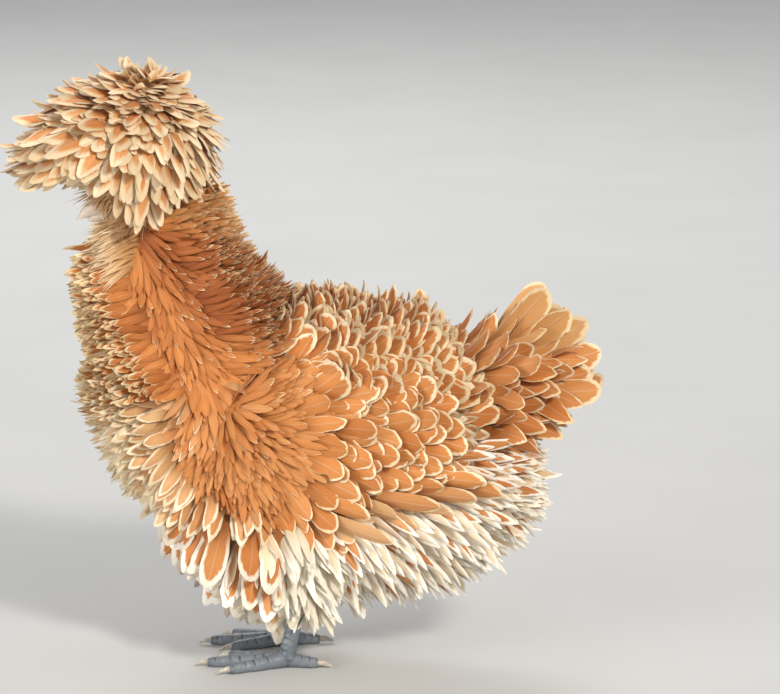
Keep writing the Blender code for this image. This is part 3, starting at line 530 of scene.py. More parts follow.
def grow(name, vane, roots, ahead, chance, lace=0.5, scale=1.0, **more):
    """Builds a whole tract of feathers as one mesh of closed vanes, and marks each for its colour."""
    many = len(roots.points)
    restless = 1 - np.asarray(more.get("calm", 0.0))
    wild = np.radians(vane.unruly) * restless

    def each(value, spread_by=0.0):
        return np.broadcast_to(np.asarray(value, float), (many,)) + chance.normal(0, 1, many) * spread_by

    length = vane.length * MM * each(scale) * chance.uniform(*LENGTHS, many)
    width = vane.width * MM * each(more.get("broad", 1.0)) * chance.uniform(*WIDTHS, many)
    lift = np.radians(vane.lift + each(more.get("lift", 0))) + each(0, wild * 0.7)
    bend = np.radians(vane.bend + each(more.get("bend", 0))) + each(0, wild)
    sway = np.radians(each(more.get("sway", 0))) * -np.sign(roots.out[:, 1] + 1e-9) + each(0, wild)
    twist = each(0, wild * 1.6)
    out = unit(roots.out)
    ahead = along_surface(ahead, out)
    ahead, _ = turned(ahead, np.cross(ahead, out), each(0, wild * 0.9))
    side = np.cross(ahead, out)

    share = np.sin(np.linspace(0, math.pi / 2, vane.stations))
    flick = np.radians(vane.flick + each(more.get("flick", 0), 10 * restless))
    angle = lift[:, None] + bend[:, None] * share + flick[:, None] * share**5
    flat, cross = turned(ahead[:, None], side[:, None], sway[:, None] * share)
    way, face = turned(flat, out[:, None], angle)
    cross, face = turned(cross, face, twist[:, None] * share)
    legs = (way[:, 1:] + way[:, :-1]) / 2 * np.diff(share)[:, None] * length[:, None, None]
    stem = np.concatenate((np.zeros((many, 1, 3)), np.cumsum(legs, axis=1)), axis=1)
    middle = roots.points[:, None] + stem
    middle[:, 0] -= out * vane.sink * MM

    over = np.linspace(-1, 1, vane.across)
    halves = width[:, None] * vane.half_widths(share)
    ragged = 1 + chance.uniform(-1, 1, (many, vane.stations, vane.across)) * vane.frayed * np.abs(over)
    split = chance.uniform(0, 1, ragged.shape) < SPLIT_BARBS
    ragged = np.where(split & (np.abs(over) == 1), ragged * SPLIT_TO, ragged)
    sideways = over * halves[..., None] * ragged
    sag = -2 * vane.cup * np.abs(over) ** 1.6 * halves[..., None]
    top = middle[:, :, None] + cross[:, :, None] * sideways[..., None] + face[:, :, None] * sag[..., None]
    under = middle - face * (SHAFT_DEPTH * MM * (1.15 - share))[:, None]
    points = np.concatenate((top, under[:, :, None]), axis=2).reshape(-1, 3)

    corners = vane.across + 1
    ring = np.arange(corners)
    quads = between(np.arange(vane.stations)[:, None] * corners + ring)[:-1].reshape(-1, 4)
    fans = [(ring[-1], k + 1, k) for k in range(vane.across - 1)]
    tip = (vane.stations - 1) * corners
    fans = np.array(fans + [(tip + c, tip + b, tip + a) for a, b, c in fans])
    first = np.arange(many)[:, None, None] * vane.stations * corners
    quads, fans = (quads + first).reshape(-1, 4), (fans + first).reshape(-1, 3)

    data = bpy.data.meshes.new(name)
    data.vertices.add(len(points))
    data.vertices.foreach_set("co", points.ravel())
    loops = np.concatenate((quads.ravel(), fans.ravel()))
    data.loops.add(len(loops))
    data.loops.foreach_set("vertex_index", loops)
    starts = np.concatenate((np.arange(len(quads)) * 4, len(quads) * 4 + np.arange(len(fans)) * 3))
    data.polygons.add(len(starts))
    data.polygons.foreach_set("loop_start", starts)
    data.update(calc_edges=True)

    spots = np.empty((many, vane.stations, corners, 2))
    spots[..., 0] = np.concatenate(((over + 1) / 2, [0.5]))
    spots[..., 1] = share[:, None]
    patch = roots.place[:, None, None] + (spots - 0.5) * MAP_PATCH
    for layer, values in (("OFBake", patch), ("Vane", spots)):
        values = values.reshape(-1, 2)[loops].astype("f")
        data.uv_layers.new(name=layer).uv.foreach_set("vector", values.ravel())
    tone, pale = markings(middle[:, vane.stations // 2])
    tone = np.clip(tone + more.get("tone", 0.0) + each(0, 0.05), 0, 1)
    pale = np.clip(pale + more.get("pale", 0.0) + each(0, 0.05), 0, 1)
    mark = np.stack((tone, pale, np.clip(each(lace, 0.08), 0, 1), chance.uniform(0, 1, many)), axis=-1)
    paint(data, "Mark", np.repeat(mark, vane.stations * corners, axis=0))
    data.shade_smooth()
    data.set_sharp_from_angle(angle=math.radians(RIM_CREASE))
    return placed(name, data)


def maths(tree, operation, first, second=0.5, third=0.5):
    """The output of one Math node."""
    inputs = {0: first, 1: second, 2: third}
    return add_node(tree, "Math", inputs, operation=operation)[0]


def web_group():
    """A feather's web from its map: streaks along the barbs, the pale shaft, and lace round the rim."""
    inputs = ("Barbs", "Slant", "Lace", "Soft", "Tip", "Side", "Random")
    group, given = new_group("feather_web", inputs, ("Streak", "Shaft", "Rim", "Along"))
    uv = add_node(group, "UVMap", uv_map="Vane")["UV"]
    u, v, _ = add_node(group, "SeparateXYZ", {"Vector": uv})
    across = maths(group, "MULTIPLY_ADD", u, 2.0, -1.0)
    off = maths(group, "ABSOLUTE", across)
    barb = maths(group, "SUBTRACT", v, maths(group, "MULTIPLY", off, given["Slant"]))
    row = maths(group, "MULTIPLY", barb, given["Barbs"])
    web = maths(group, "MULTIPLY_ADD", maths(group, "SIGN", across), 3.0, off)
    seed = maths(group, "MULTIPLY", given["Random"], 40.0)
    place = add_node(group, "CombineXYZ", {"X": row, "Y": web, "Z": seed})[0]
    streak, patchy = noise(group, place, 1.0, 2.5), noise(group, place, 0.16, 1.0)
    ragged = maths(group, "MULTIPLY_ADD", maths(group, "ADD", streak, patchy), 0.26, -0.26)
    past = spread(group, v, given["Tip"], 1.0, way="LINEAR")
    sided = maths(group, "MULTIPLY", off, given["Side"])
    squares = maths(group, "MULTIPLY_ADD", sided, sided, maths(group, "MULTIPLY", past, past))
    round_rim = maths(group, "SQRT", squares)
    reach = maths(group, "ADD", round_rim, ragged)
    inner = maths(group, "SUBTRACT", 1.0, given["Lace"])
    outer = maths(group, "ADD", inner, given["Soft"])
    rim = spread(group, reach, inner, outer, way="LINEAR")
    rim = maths(group, "MULTIPLY", rim, spread(group, v, 0.25, 0.6))
    rim = maths(group, "MULTIPLY", rim, spread(group, given["Lace"], 0.0, 0.05))
    shaft = spread(group, off, 0.10, 0.02)
    add_node(group, "NodeGroupOutput", {"Streak": streak, "Shaft": shaft, "Rim": rim, "Along": v})
    return group


feather_web = web_group()


def plumage(name, rim_colour, barbs=46, tip=0.66, side=0.95, lace=0.5, soft=0.1, shaft=0.12, **more):
    """The material of one tract of feathers: its ground from the marks, its lace, shafts and barbs, and a
    painted shade towards the root, partly the grey down at a feather's base and partly the shade between
    feathers.
    """
    values = {"Roughness": 0.62, "Specular_IOR_Level": 0.28, "Sheen_Weight": 0.12, "Sheen_Roughness": 0.4}
    made, tree = new_material(name, **values)
    tone, pale, lacing, own = marks_of(tree)
    roots_dark, streaks = more.get("roots_dark", 0.4), more.get("streaks", 0.45)
    inputs = {"Barbs": barbs, "Slant": 0.45, "Soft": soft, "Tip": tip, "Side": side, "Random": own}
    inputs["Lace"] = maths(tree, "MULTIPLY", lacing, lace)
    web = add_node(tree, "Group", inputs, node_tree=feather_web)
    tone = maths(tree, "MULTIPLY_ADD", web["Streak"], streaks, tone)
    tone = maths(tree, "SUBTRACT", tone, streaks / 2)
    uneven = maths(tree, "MULTIPLY", web["Streak"], more.get("pale_streaks", 0.0))
    ground = ground_colour(tree, tone, maths(tree, "SUBTRACT", pale, uneven))
    quilled = blend(tree, maths(tree, "MULTIPLY", web["Shaft"], shaft), ground, CREAM)
    laced = blend(tree, web["Rim"], quilled, rim_colour)
    # Painted shade: each feather darkens towards its root, partly for the grey down at its base and partly
    # for the shade that falls between feathers, and less where the lace is slight.
    depth = spread(tree, lacing, 0.0, 0.25, (1 - roots_dark) * 0.4, 1 - roots_dark)
    at_root = spread(tree, web["Along"], 0.7, 0.15)
    shade = maths(tree, "SUBTRACT", 1.0, maths(tree, "MULTIPLY", at_root, depth))
    vary = spread(tree, own, 0.0, 1.0, more.get("darkest", 0.84), 1.08)
    vary = maths(tree, "MULTIPLY", shade, vary)
    # Painted warm shade: as the colour darkens, green and blue fall faster than red, like light that has
    # passed through feathers. This tints both the painted root shade and each feather's own random tone.
    green, blue = maths(tree, "POWER", vary, 1.3), maths(tree, "POWER", vary, 1.8)
    warm = {"Red": vary, "Green": green, "Blue": blue}
    warm_shade_and_tone = add_node(tree, "CombineColor", warm)[0]
    ridges = maths(tree, "ADD", web["Streak"], web["Shaft"])
    return finished(made, blend(tree, 1.0, laced, warm_shade_and_tone, mode="MULTIPLY"), ridges, 0.45, 0.0004)


CREST_MIDDLE, CREST_CROWN = (-90, 0, 336), (-76, 0, 402)
CREST_TOP, CREST_BACK, CREST_FRONT, CREST_SIDE = 66, 64, 86, 59
CURTAIN_DROP, BRIM_DROP = 100, 14
CREST_GAP, CREST_STEP, CLOSER_IN_FRONT = 5.9, 6.2, 0.28
OUTER_LAYERS, CURTAIN_LAYER, CURTAIN_FROM = ((0.92, 1.0), (0.74, 0.9)), (0.46, 0.72), 1.05
# How far down the curtain ends, in degrees from the crown.
NAPE_END, SIDE_END, FACE_END = 103, 115, 91
ROOT_BEHIND_TIP, ROOT_BELOW_TIP, ROOT_SINK, WHORL = 38, 30, 4, 20
CURLY_SHARE, CURL = 0.14, 50
CREST_VANE = Vane(60, 13, 0, 0, broadest=0.66, close=1.9, cup=0.2, sink=0, stations=8, frayed=0.13)
CREST_RIM = (0.78, 0.61, 0.39)


def to_front(around):
    """Nothing at the back of the crest, and one at its brim."""
    return (1 - np.cos(around)) / 2


def crest_reach(down, around, share):
    """How far out and up from the middle the tips lie: a dome, and a curtain below it."""
    girth = np.where(np.cos(around) > 0, CREST_BACK, CREST_FRONT)
    wide = np.hypot(girth * np.cos(around), CREST_SIDE * np.sin(around)) * share
    over, below = np.minimum(down, math.pi / 2), np.maximum(down - math.pi / 2, 0)
    drop = CURTAIN_DROP * below + BRIM_DROP * np.sin(over) * to_front(around) ** 3
    return wide * np.sin(over) * (1 - 0.25 * below), CREST_TOP * share * np.cos(over) - drop


def crest_place(down, around, share):
    wide, up = crest_reach(down, around, share)
    return in_frame(np.stack((np.cos(around) * wide, np.sin(around) * wide, up), axis=-1) + CREST_MIDDLE)


def crest_tips(chance):
    """Where the tips lie: down from the crown, around from the back, and the share of the full size.

    Two layers cover the whole crest, and a third one fills the curtain, which ends over the face.
    """
    down, around = [], []
    for lean in np.radians(np.arange(3, 118, CREST_STEP)):
        wide, _ = crest_reach(np.array([lean]), np.array([math.pi / 2]), 1.0)
        many = max(int(math.tau * 1.1 * wide[0] / CREST_GAP), 5)
        turns = math.tau * (np.arange(many) + chance.uniform() + chance.uniform(-0.3, 0.3, many)) / many
        around.append(turns + CLOSER_IN_FRONT * np.sin(turns))
        down.append(lean + chance.uniform(-0.1, 0.1, many))
    down, around = np.concatenate(down), np.concatenate(around)
    front = to_front(around)
    end = NAPE_END + (SIDE_END - NAPE_END) * eased(front, 0.0, 0.3)
    end += (FACE_END - SIDE_END) * eased(front, 0.49, 0.60)
    keep = np.degrees(down) < end
    down, around = down[keep], around[keep]
    lower = down > CURTAIN_FROM
    share = [chance.uniform(*span, len(down)) for span in OUTER_LAYERS]
    share.append(chance.uniform(*CURTAIN_LAYER, np.count_nonzero(lower)))
    around = np.concatenate((around, around + 0.1, around[lower]))
    return np.concatenate((down, down, down[lower])), around, np.concatenate(share)


def build_crest():
    """Each feather is an arc from the knob, worked out so that its tip lies along the outside.

    The arc is nearly flat on the outside at its tip, points away from the crown, and has its root
    on the knob below a place behind the tip. Near the crown the feathers stand up in a whorl, over
    the bill they make a brim, and at the nape they are narrower and paler.
    """
    chance = np.random.default_rng(11)
    down, around, share = crest_tips(chance)
    tip, bit = crest_place(down, around, share), 0.02
    downward = crest_place(down + bit, around, share) - tip
    out = unit(np.cross(downward, crest_place(down, around + bit, share) - tip))
    from_crown = tip - in_frame(CREST_CROWN)
    far = np.linalg.norm(from_crown, axis=1) / MM
    crown = np.exp(-far / WHORL)
    run_back = ROOT_BEHIND_TIP * (1 - np.exp(-far / ROOT_BEHIND_TIP)) + 18 * crown
    below = tip - (along_surface(from_crown, out) * run_back[:, None] + out * ROOT_BELOW_TIP) * MM
    way = unit((below - in_frame(KNOB_CENTRE)) / MM / KNOB_RADII)
    way[:, 2] = np.maximum(way[:, 2], -0.15)
    way = unit(way)
    root_down, root_around = np.arccos(way[:, 2]), np.arctan2(way[:, 1], way[:, 0])
    points, facing = knob_at(root_down, root_around)

    chord = tip - points
    rise = np.sum(chord * out, axis=1)
    flat = chord - out * rise[:, None]
    climb = np.arctan2(rise, np.linalg.norm(flat, axis=1))
    front = to_front(around)
    brim = eased(front, 0.86, 0.99) * eased(down, 0.9, 1.5)
    # The tips stand off the outside by these degrees, more at the crown and most in the brim.
    half = np.clip(climb - np.radians(11 + 14 * crown + 40 * brim), 0.03, 0.95)
    length = np.linalg.norm(chord, axis=1) * half / np.sin(half)
    curl = np.where(chance.uniform(0, 1, len(down)) < CURLY_SHARE, CURL, 0) * (1 - eased(down, 1.2, 1.5))
    hind = np.maximum(eased(1 - front, 0.5, 0.85) * eased(down, 0.9, 1.4), 0.8 * eased(down, 1.45, 1.8))
    place = np.stack((root_around / math.tau % 1.0, root_down / math.pi), axis=-1)
    return grow(
        "crest", CREST_VANE, Roots(points - facing * ROOT_SINK * MM, out, place), flat, chance,
        lace=0.46 + 0.2 * hind, tone=0.18, pale=-0.08 + 0.1 * hind, scale=length / (CREST_VANE.length * MM),
        lift=np.degrees(climb + half), bend=-2 * np.degrees(half), flick=curl - 16 * crown,
        broad=0.95 + 0.05 * eased(down, 0.2, 1.0) - 0.4 * hind, calm=-1.3 * crown,
    )


finish = plumage("crest_feathers", CREST_RIM, tip=0.55, side=1.0, lace=0.72, soft=0.25, roots_dark=0.5)
hand_over(build_crest(), finish, "crest_feathers", "crest")


# Hackles: long narrow pointed feathers round the neck. They part along a line down each side, from
# the cheek to the shoulder, and curl out: forward over the throat, and back over the shoulders.
PARTING_TOP, PARTING_END = np.array((-92.0, 302.0)), np.array((-27.0, 169.0))
HACKLE = Vane(42, 3.6, 18, 20, base=0.55, broadest=0.58, across=3, stations=8, unruly=9, flick=34)
FRILL = Vane(37, 5.2, 20, 24, broadest=0.62, stations=8, unruly=12, flick=36, frayed=0.14)
HACKLE_RIM = (0.88, 0.70, 0.42)


def from_parting(roots):
    """The way and the distance from the parting to each root, seen from the side, in millimetres."""
    place = np.stack((roots.x, roots.z), axis=-1)
    line = PARTING_END - PARTING_TOP
    share = np.clip((place - PARTING_TOP) @ line / (line @ line), 0, 1)
    away = place - (PARTING_TOP + share[:, None] * line)
    return away, np.linalg.norm(away, axis=1)


def lie(roots):
    """The way that feathers lie: down the parting, then away from it to both sides.

    Those in front turn up at the throat and down at the breast, and those behind run back.
    """
    away, far = from_parting(roots)
    away = away / np.maximum(far, 1)[:, None]
    front = eased(-away[:, 0], -0.2, 0.4)
    behind_neck = eased(roots.z, 200, 240) * (1 - front)
    down_line = (PARTING_END - PARTING_TOP) / np.linalg.norm(PARTING_END - PARTING_TOP)
    on_line = (1 - eased(far, 1, 9 + 8 * (1 - eased(roots.z, 172, 196))))[:, None]
    flat = away * (1 - 0.75 * on_line) + down_line * on_line
    flat[:, 1] = np.minimum(flat[:, 1], 0.1 + 0.9 * eased(roots.x, -25, 15))
    lower = front * (0.34 - 0.85 * (1 - eased(roots.z, 130, 225))) + 0.15 * behind_neck
    return np.stack((flat[:, 0], np.zeros(len(far)), flat[:, 1] + lower), axis=-1)


def calm(roots, low=2, high=14):
    """One where the feathers lie smooth, along the parting and at the shoulder, and zero beyond."""
    return 1 - eased(from_parting(roots)[1], low, high)


chance = np.random.default_rng(12)
slope = (PARTING_END[0] - PARTING_TOP[0]) / (PARTING_TOP[1] - PARTING_END[1])
for name, vane, gap, laced in (("hackle_front", FRILL, 2.9, 0.52), ("hackle_back", HACKLE, 2.25, 0.16)):
    tract = rows_on(NECK, gap, chance, span=(0.05, 0.98))
    ahead_of_line = PARTING_TOP[0] + (PARTING_TOP[1] - tract.z) * slope - tract.x
    tract = tract.where(ahead_of_line > 2 if vane is FRILL else ahead_of_line < 4)
    # They end raggedly below the face, where the beard and the muffs begin.
    border = 262 + 20 * chance.uniform(0, 1, len(tract.x))
    in_cheek = (tract.x < -76) & (tract.z + 0.35 * (tract.x + 95) > 304)
    tract = tract.where(~(in_cheek | (tract.x < -87) & (tract.z > border)))
    smooth, edge, over_wing = calm(tract), 1 - np.abs(tract.out[:, 1]), 1 - eased(tract.z, 192, 212)
    hackle = grow(
        name, vane, tract, lie(tract), chance,
        lace=laced * (1 - smooth), scale=1 - 0.25 * smooth, pale=-0.18, tone=0.1,
        lift=8 * edge - 13 * smooth + 12 * over_wing, bend=4 * edge - 20 * smooth, flick=-30 * smooth,
        broad=1 + 0.4 * smooth, calm=0.7 * smooth,
    )
    finish = plumage(name, HACKLE_RIM, barbs=30, tip=0.5, side=0.7, lace=0.6, soft=0.2, roots_dark=0.6)
    hand_over(hackle, finish, "hackle_feathers", "neck")


# Body coat: breast, back, flanks, belly and the fluff behind. Laced feathers, broad over the back
# and narrow on the breast, each rooted in the skin and frizzled, so that its tip turns outwards.
chance = np.random.default_rng(13)
body = rows_on(TORSO, 5.3, chance)
under_wing = (np.abs(body.y) > 30) & (body.x > -12) & (body.x < 88) & (body.z > 122) & (body.z < 182)
under_neck = (body.z > 200) & (body.x < -30)
under_tail = (body.x > 112) & (body.z > 165)
SHOULDER_CENTRE = (-14, 158)


def from_shoulder(roots):
    """How far each root is from the middle of the plain shoulder, seen from the side.

    Roots near the middle of the body are never at the shoulder.
    """
    far = np.hypot(roots.x - SHOULDER_CENTRE[0], roots.z - SHOULDER_CENTRE[1])
    return far + 200 * (np.abs(roots.y) < 22)


def in_fluff(roots):
    """Whether the roots lie on the hind and lower part, which the down feathers cover."""
    return (roots.x > 16) & (roots.z < 150) & ((roots.x > 92) | (roots.z < 128))


body = body.where(~(under_wing | under_neck | under_tail | (from_shoulder(body) < 31)))
below_line = body.z < 118 - 0.12 * body.x
is_saddle = (body.z > 176) & (body.x > -34) & ~in_fluff(body)
is_belly = below_line & (body.x < 20) & (body.x > -62) & ~in_fluff(body)
is_breast = ~(in_fluff(body) | is_saddle | is_belly)

LACE_CREAM, LACE_PALE, LACE_WHITE = (0.87, 0.71, 0.46), (0.90, 0.78, 0.56), (0.94, 0.88, 0.76)


def dress(name, vane, tract, lace, rim, slot="body_feathers", lace_wide=0.5, **more):
    """Grows one tract of the body's coat, which lies smooth near the parting."""
    smooth = calm(tract, 4, 34)
    # The finish takes the root's grey down and painted shade, the darkest random tone and the pale streaks.
    finish = {key: more[key] for key in ("roots_dark", "darkest", "pale_streaks") if key in more}
    ahead = more.pop("ahead", lie(tract))
    more["lift"] = more.get("lift", 0) - 16 * smooth
    more["bend"] = more.get("bend", 0) - 28 * smooth
    more["broad"] = more.get("broad", 1.0) * (1 - 0.35 * smooth)
    lace = lace * (1 - 0.85 * smooth)
    coat = grow(name, vane, tract, ahead, chance, lace=lace, calm=0.6 * smooth, **more)
    hand_over(coat, plumage(name, rim, lace=lace_wide, **finish), slot, "torso")


breast = body.where(is_breast)
in_front = 1 - eased(np.abs(breast.y), 18, 40) * eased(breast.x, -84, -62)
low_front = in_front * (1 - eased(breast.z, 130, 185))
lower_edge = in_front * (1 - eased(breast.z, 160, 205))
beside = 1 - eased(in_front, 0.1, 0.7)
dress(
    "breast", Vane(40, 9.5, 22, 32, base=0.4, close=1.5, unruly=14, flick=28, frayed=0.13), breast,
    0.58 + 0.18 * in_front, LACE_PALE, lace_wide=0.62,
    pale=0.18 + 0.08 * in_front + 0.2 * low_front,
    scale=0.92 - 0.30 * lower_edge, broad=1 - 0.42 * in_front,
    lift=-8 * lower_edge - 6 * beside, bend=-10 * beside, sway=16 * beside,
)
saddle = body.where(is_saddle)
aslant = eased(np.abs(saddle.y), 8, 34)
dress(
    "saddle", Vane(46, 16, 34, 26, base=0.42, broadest=0.7, close=2.0, unruly=10), saddle, 0.36, LACE_CREAM,
    lift=-20 * aslant, bend=-14 * aslant, scale=0.9 + 0.22 * aslant, broad=1 + 0.1 * aslant,
)
belly = body.where(is_belly)
dress(
    "belly", Vane(64, 16, 22, 14, base=0.4, broadest=0.7, close=1.7, unruly=13, flick=26), belly, 0.7,
    LACE_WHITE, ahead=np.tile((0.0, 0, -1.0), (len(belly.x), 1)), sway=24, pale=-0.5,
    scale=0.62 + 0.38 * eased(belly.x, -62, -10),
)

FLUFF = Vane(57, 8.2, 20, 12, cup=0.2, stations=8, frayed=0.16, unruly=10)
fine = rows_on(TORSO, 4.0, chance, span=(0.4, 1.0))
fine = fine.where(in_fluff(fine))
streaky = chance.uniform(0, 1, len(fine.x)) < 0.2
dress(
    "fluff", FLUFF, fine, 0.6, LACE_WHITE, "fluff", pale=np.where(streaky, -0.5, 0.3),
    lift=-16 * np.abs(fine.out[:, 1]), roots_dark=0.85, darkest=0.96, pale_streaks=0.7,
)


# Shoulders: fine plain orange feathers that fan out flat from the end of the parting, on both sides.
SHOULDER = Vane(31, 5.6, 2, 0, base=0.6, close=1.7, across=3, stations=6, unruly=4, flick=2)
SHOULDER_REACH, SHOULDER_GAP = 38, 2.5
for name, form in WINGS.items():
    chance = np.random.default_rng(60 + SIDES[name])
    for tract_name, base in (("shoulder", TORSO), ("shoulder_wing", form)):
        tract = rows_on(base, SHOULDER_GAP, chance)
        tract = tract.where((from_shoulder(tract) < SHOULDER_REACH) & (tract.y * SIDES[name] > 12))
        coat = grow(f"{tract_name}_{name}", SHOULDER, tract, lie(tract), chance, lace=0.0)
        finish = plumage(coat.name, LACE_CREAM, lace=0.2, streaks=0.9, roots_dark=0.8, darkest=0.95)
        hand_over(coat, finish, "body_feathers", "torso" if base is TORSO else f"wing_{name}")


# Thighs: drumsticks in long soft cream feathers that hang over the hock.
THIGH_VANE = Vane(38, 7, 28, 8, broadest=0.5, close=1.5, frayed=0.2, unruly=10)
for name, form in THIGHS.items():
    chance = np.random.default_rng(20 + SIDES[name])
    tract = rows_on(form, 5.5, chance, span=(0.15, 0.86))
    hanging = np.tile((0.25, 0, -1.0), (len(tract.x), 1))
    coat = grow(f"thigh_{name}", THIGH_VANE, tract, hanging, chance, pale=0.4)
    hand_over(coat, plumage(f"thigh_{name}", LACE_WHITE, roots_dark=0.7), "fluff", f"thigh_{name}")


# Wings: folded against the flank. Small coverts fan from the shoulder, then come tiers of round
# laced coverts, and the plain ends of the flight feathers along the lower edge.
COVERT = Vane(40, 15, 8, 6, base=0.42, broadest=0.7, close=1.9, flick=10, frayed=0.13)
FLIGHT = Vane(64, 14, 17, 0, broadest=0.8, close=2.0, cup=0.16, stations=10, unruly=5, flick=4)
# Degrees round the wing's form from its upper edge: over its outer face, and along its lower edge.
OUTER_FACE, LOWER_EDGE = np.array((8, 172)), np.array((128, 166))
for name, form in WINGS.items():
    side = SIDES[name]
    chance = np.random.default_rng(30 + side)
    tract = rows_on(form, 6.6, chance, span=(0.04, 0.86), turns=sorted(-side * OUTER_FACE))
    tract = tract.where(from_shoulder(tract) > 29)
    shoulder = calm(tract, 18, 62)
    coverts = grow(
        f"wing_coverts_{name}", COVERT, tract, lie(tract), chance,
        lace=0.26 - 0.22 * shoulder, scale=1 - 0.2 * shoulder, broad=1 - 0.55 * shoulder,
        lift=-4 * shoulder, bend=-8 * shoulder, pale=-0.5, calm=0.5 * shoulder,
    )
    edge = rows_on(form, 9, chance, span=(0.36, 0.8), turns=sorted(-side * LOWER_EDGE))
    backward = lie(edge) * (0.3, 0, 0.3) + (1, 0, 0.05)
    flights = grow(f"wing_flights_{name}", FLIGHT, edge, backward, chance, lace=0.15, pale=-0.5)
    for coat in (coverts, flights):
        finish = plumage(coat.name, LACE_CREAM, tip=0.7, lace=0.5, roots_dark=0.55)
        hand_over(coat, finish, "body_feathers", f"wing_{name}")


# Tail: two overlapping fans of broad quills folded into a tent, with frizzled coverts at their roots.
TAIL_PAIRS = 7
QUILL = Vane(78, 20, 2, 4, broadest=0.82, close=2.0, cup=0.2, stations=11, sink=8, unruly=4, flick=5)
TAIL_COVERT = Vane(56, 14, 15, 8, base=0.4, broadest=0.66, unruly=13, flick=22, frayed=0.14)
TAIL_X, TAIL_Z, QUILL_GAP = 136, 196, 1.9
STEEPEST, LEVELLER, LEAST_SPLAY, MORE_SPLAY = 50, 44, 3, 14
TENT_SIDE, TENT_UP = 0.91, 0.41

chance = np.random.default_rng(40)
points, out, ways = [], [], []
for side in SIDES.values():
    for pair in range(TAIL_PAIRS):
        share = pair / (TAIL_PAIRS - 1)
        rise = math.radians(STEEPEST - LEVELLER * share)
        splay = math.radians(LEAST_SPLAY + MORE_SPLAY * share)
        ways.append((math.cos(rise) * math.cos(splay), side * math.sin(splay), math.sin(rise)))
        points.append((TAIL_X + 9 * share, side * (2.5 + QUILL_GAP * pair), TAIL_Z - 16 * share))
        out.append((0, side * TENT_SIDE, TENT_UP))
many = len(points)
place = np.stack((0.2 + 0.6 * np.arange(many) / many, np.full(many, 0.7)), axis=-1)
roots = Roots(in_frame(points), np.array(out), place)
quills = grow("tail_quills", QUILL, roots, np.array(ways), chance, lace=0.4)
tract = rows_on(TAIL, 6.5, chance, span=(0.05, 0.8))
fall = np.stack((np.ones(len(tract.x)), 0 * tract.x, 0.5 * tract.out[:, 2] - 0.15), axis=-1)
coverts = grow("tail_coverts", TAIL_COVERT, tract, fall, chance, lace=0.42)
for coat in (quills, coverts):
    finish = plumage(coat.name, LACE_CREAM, tip=0.75, lace=0.4, roots_dark=0.6)
    hand_over(coat, finish, "body_feathers", "tail")


# Beard and muffs: fine pale strands under the bill and over the cheeks, which curl forward and down.
MUFF = Vane(33, 1.9, 12, 14, broadest=0.4, close=1.3, across=3, stations=7, sink=2)
MUFF_RIM = (0.88, 0.74, 0.50)
chance = np.random.default_rng(50)
throat = rows_on(NECK, 1.8, chance, span=(0.62, 1.0))
border = 257 + 20 * chance.uniform(0, 1, len(throat.x))
throat = throat.where((throat.x < -79) & (throat.z < 303) & (throat.z > border))
face = rows_on(HEAD, 1.7, chance)
# Strands keep off the bare ring round the eye and off the bill; along the middle of the head the ring is
# not cut out.
from_ring = np.hypot(face.x - EYE_X, 1.25 * (face.z - EYE_LEVEL)) + 100 * (np.abs(face.y) < 6)
face = face.where((from_ring > 6.5) & (face.x > -107))
for name, tract in (("beard", throat), ("muffs", face)):
    at_bill = 1 - eased(np.hypot(tract.x + 108, tract.z - 303), 8, 21)
    short = np.maximum(at_bill, 1 - eased(from_eye(tract.x, tract.z), 8, 18))
    ways = np.stack((0.75 * at_bill - 1.0, 0 * short, -0.35 - 0.5 * at_bill), axis=-1)
    coat = grow(
        name, MUFF, tract, ways, chance,
        lace=0.6, scale=1 - 0.72 * short, tone=-0.45, pale=0.15, sway=-14, lift=-5 * short,
    )
    finish = plumage(name, MUFF_RIM, barbs=20, tip=0.2, lace=0.5, soft=0.4, roots_dark=0.6)
    hand_over(coat, finish, "crest_feathers", "head")


# Eyes: dark round balls with an orange iris, set in the head within a bare wrinkled ring of lids.
EYE_OUT, EYE_UP, EYE_RADIUS = 12.0, EYE_LEVEL + 0.5, 4.2
IRIS_RADIUS, PUPIL_RADIUS = 3.1, 1.5
CORNEA_FROM, CORNEA_SWELL = 0.72, 1.4
PUPIL_BLACK, RIM_BROWN = (0.004, 0.004, 0.004), (0.03, 0.015, 0.01)
IRIS = ((0.42, 0.09, 0.015), (0.72, 0.26, 0.05))
FOLD = (0.36, 0.085, 0.06)


def eye_material():
    """A black pupil in a rayed iris, under a clear wet coat."""
    values = {"Roughness": 0.08, "Specular_IOR_Level": 0.6, "Coat_Weight": 1.0, "Coat_Roughness": 0.03}
    made, tree = new_material("eye", **values)
    place = object_place(tree)
    x, _, z = add_node(tree, "SeparateXYZ", {"Vector": place})
    flat = add_node(tree, "CombineXYZ", {"X": x, "Y": z})[0]
    far = add_node(tree, "VectorMath", {0: flat}, operation="LENGTH")["Value"]
    iris = blend(tree, noise(tree, place, 1400.0, 2.0), *IRIS)
    inside = spread(tree, far, PUPIL_RADIUS * MM, (PUPIL_RADIUS + 0.25) * MM)
    outside = spread(tree, far, (IRIS_RADIUS - 0.4) * MM, IRIS_RADIUS * MM)
    dark = blend(tree, inside, PUPIL_BLACK, iris)
    return finished(made, blend(tree, outside, dark, RIM_BROWN))


def flesh_material():
    made, tree = new_material("face_flesh", Roughness=0.55, Specular_IOR_Level=0.4)
    folds = cells(tree, object_place(tree), 900.0)
    return finished(made, blend(tree, spread(tree, folds, 0.1, 0.7), FOLD, FACE), folds)


EYE_FINISH, FLESH = eye_material(), flesh_material()


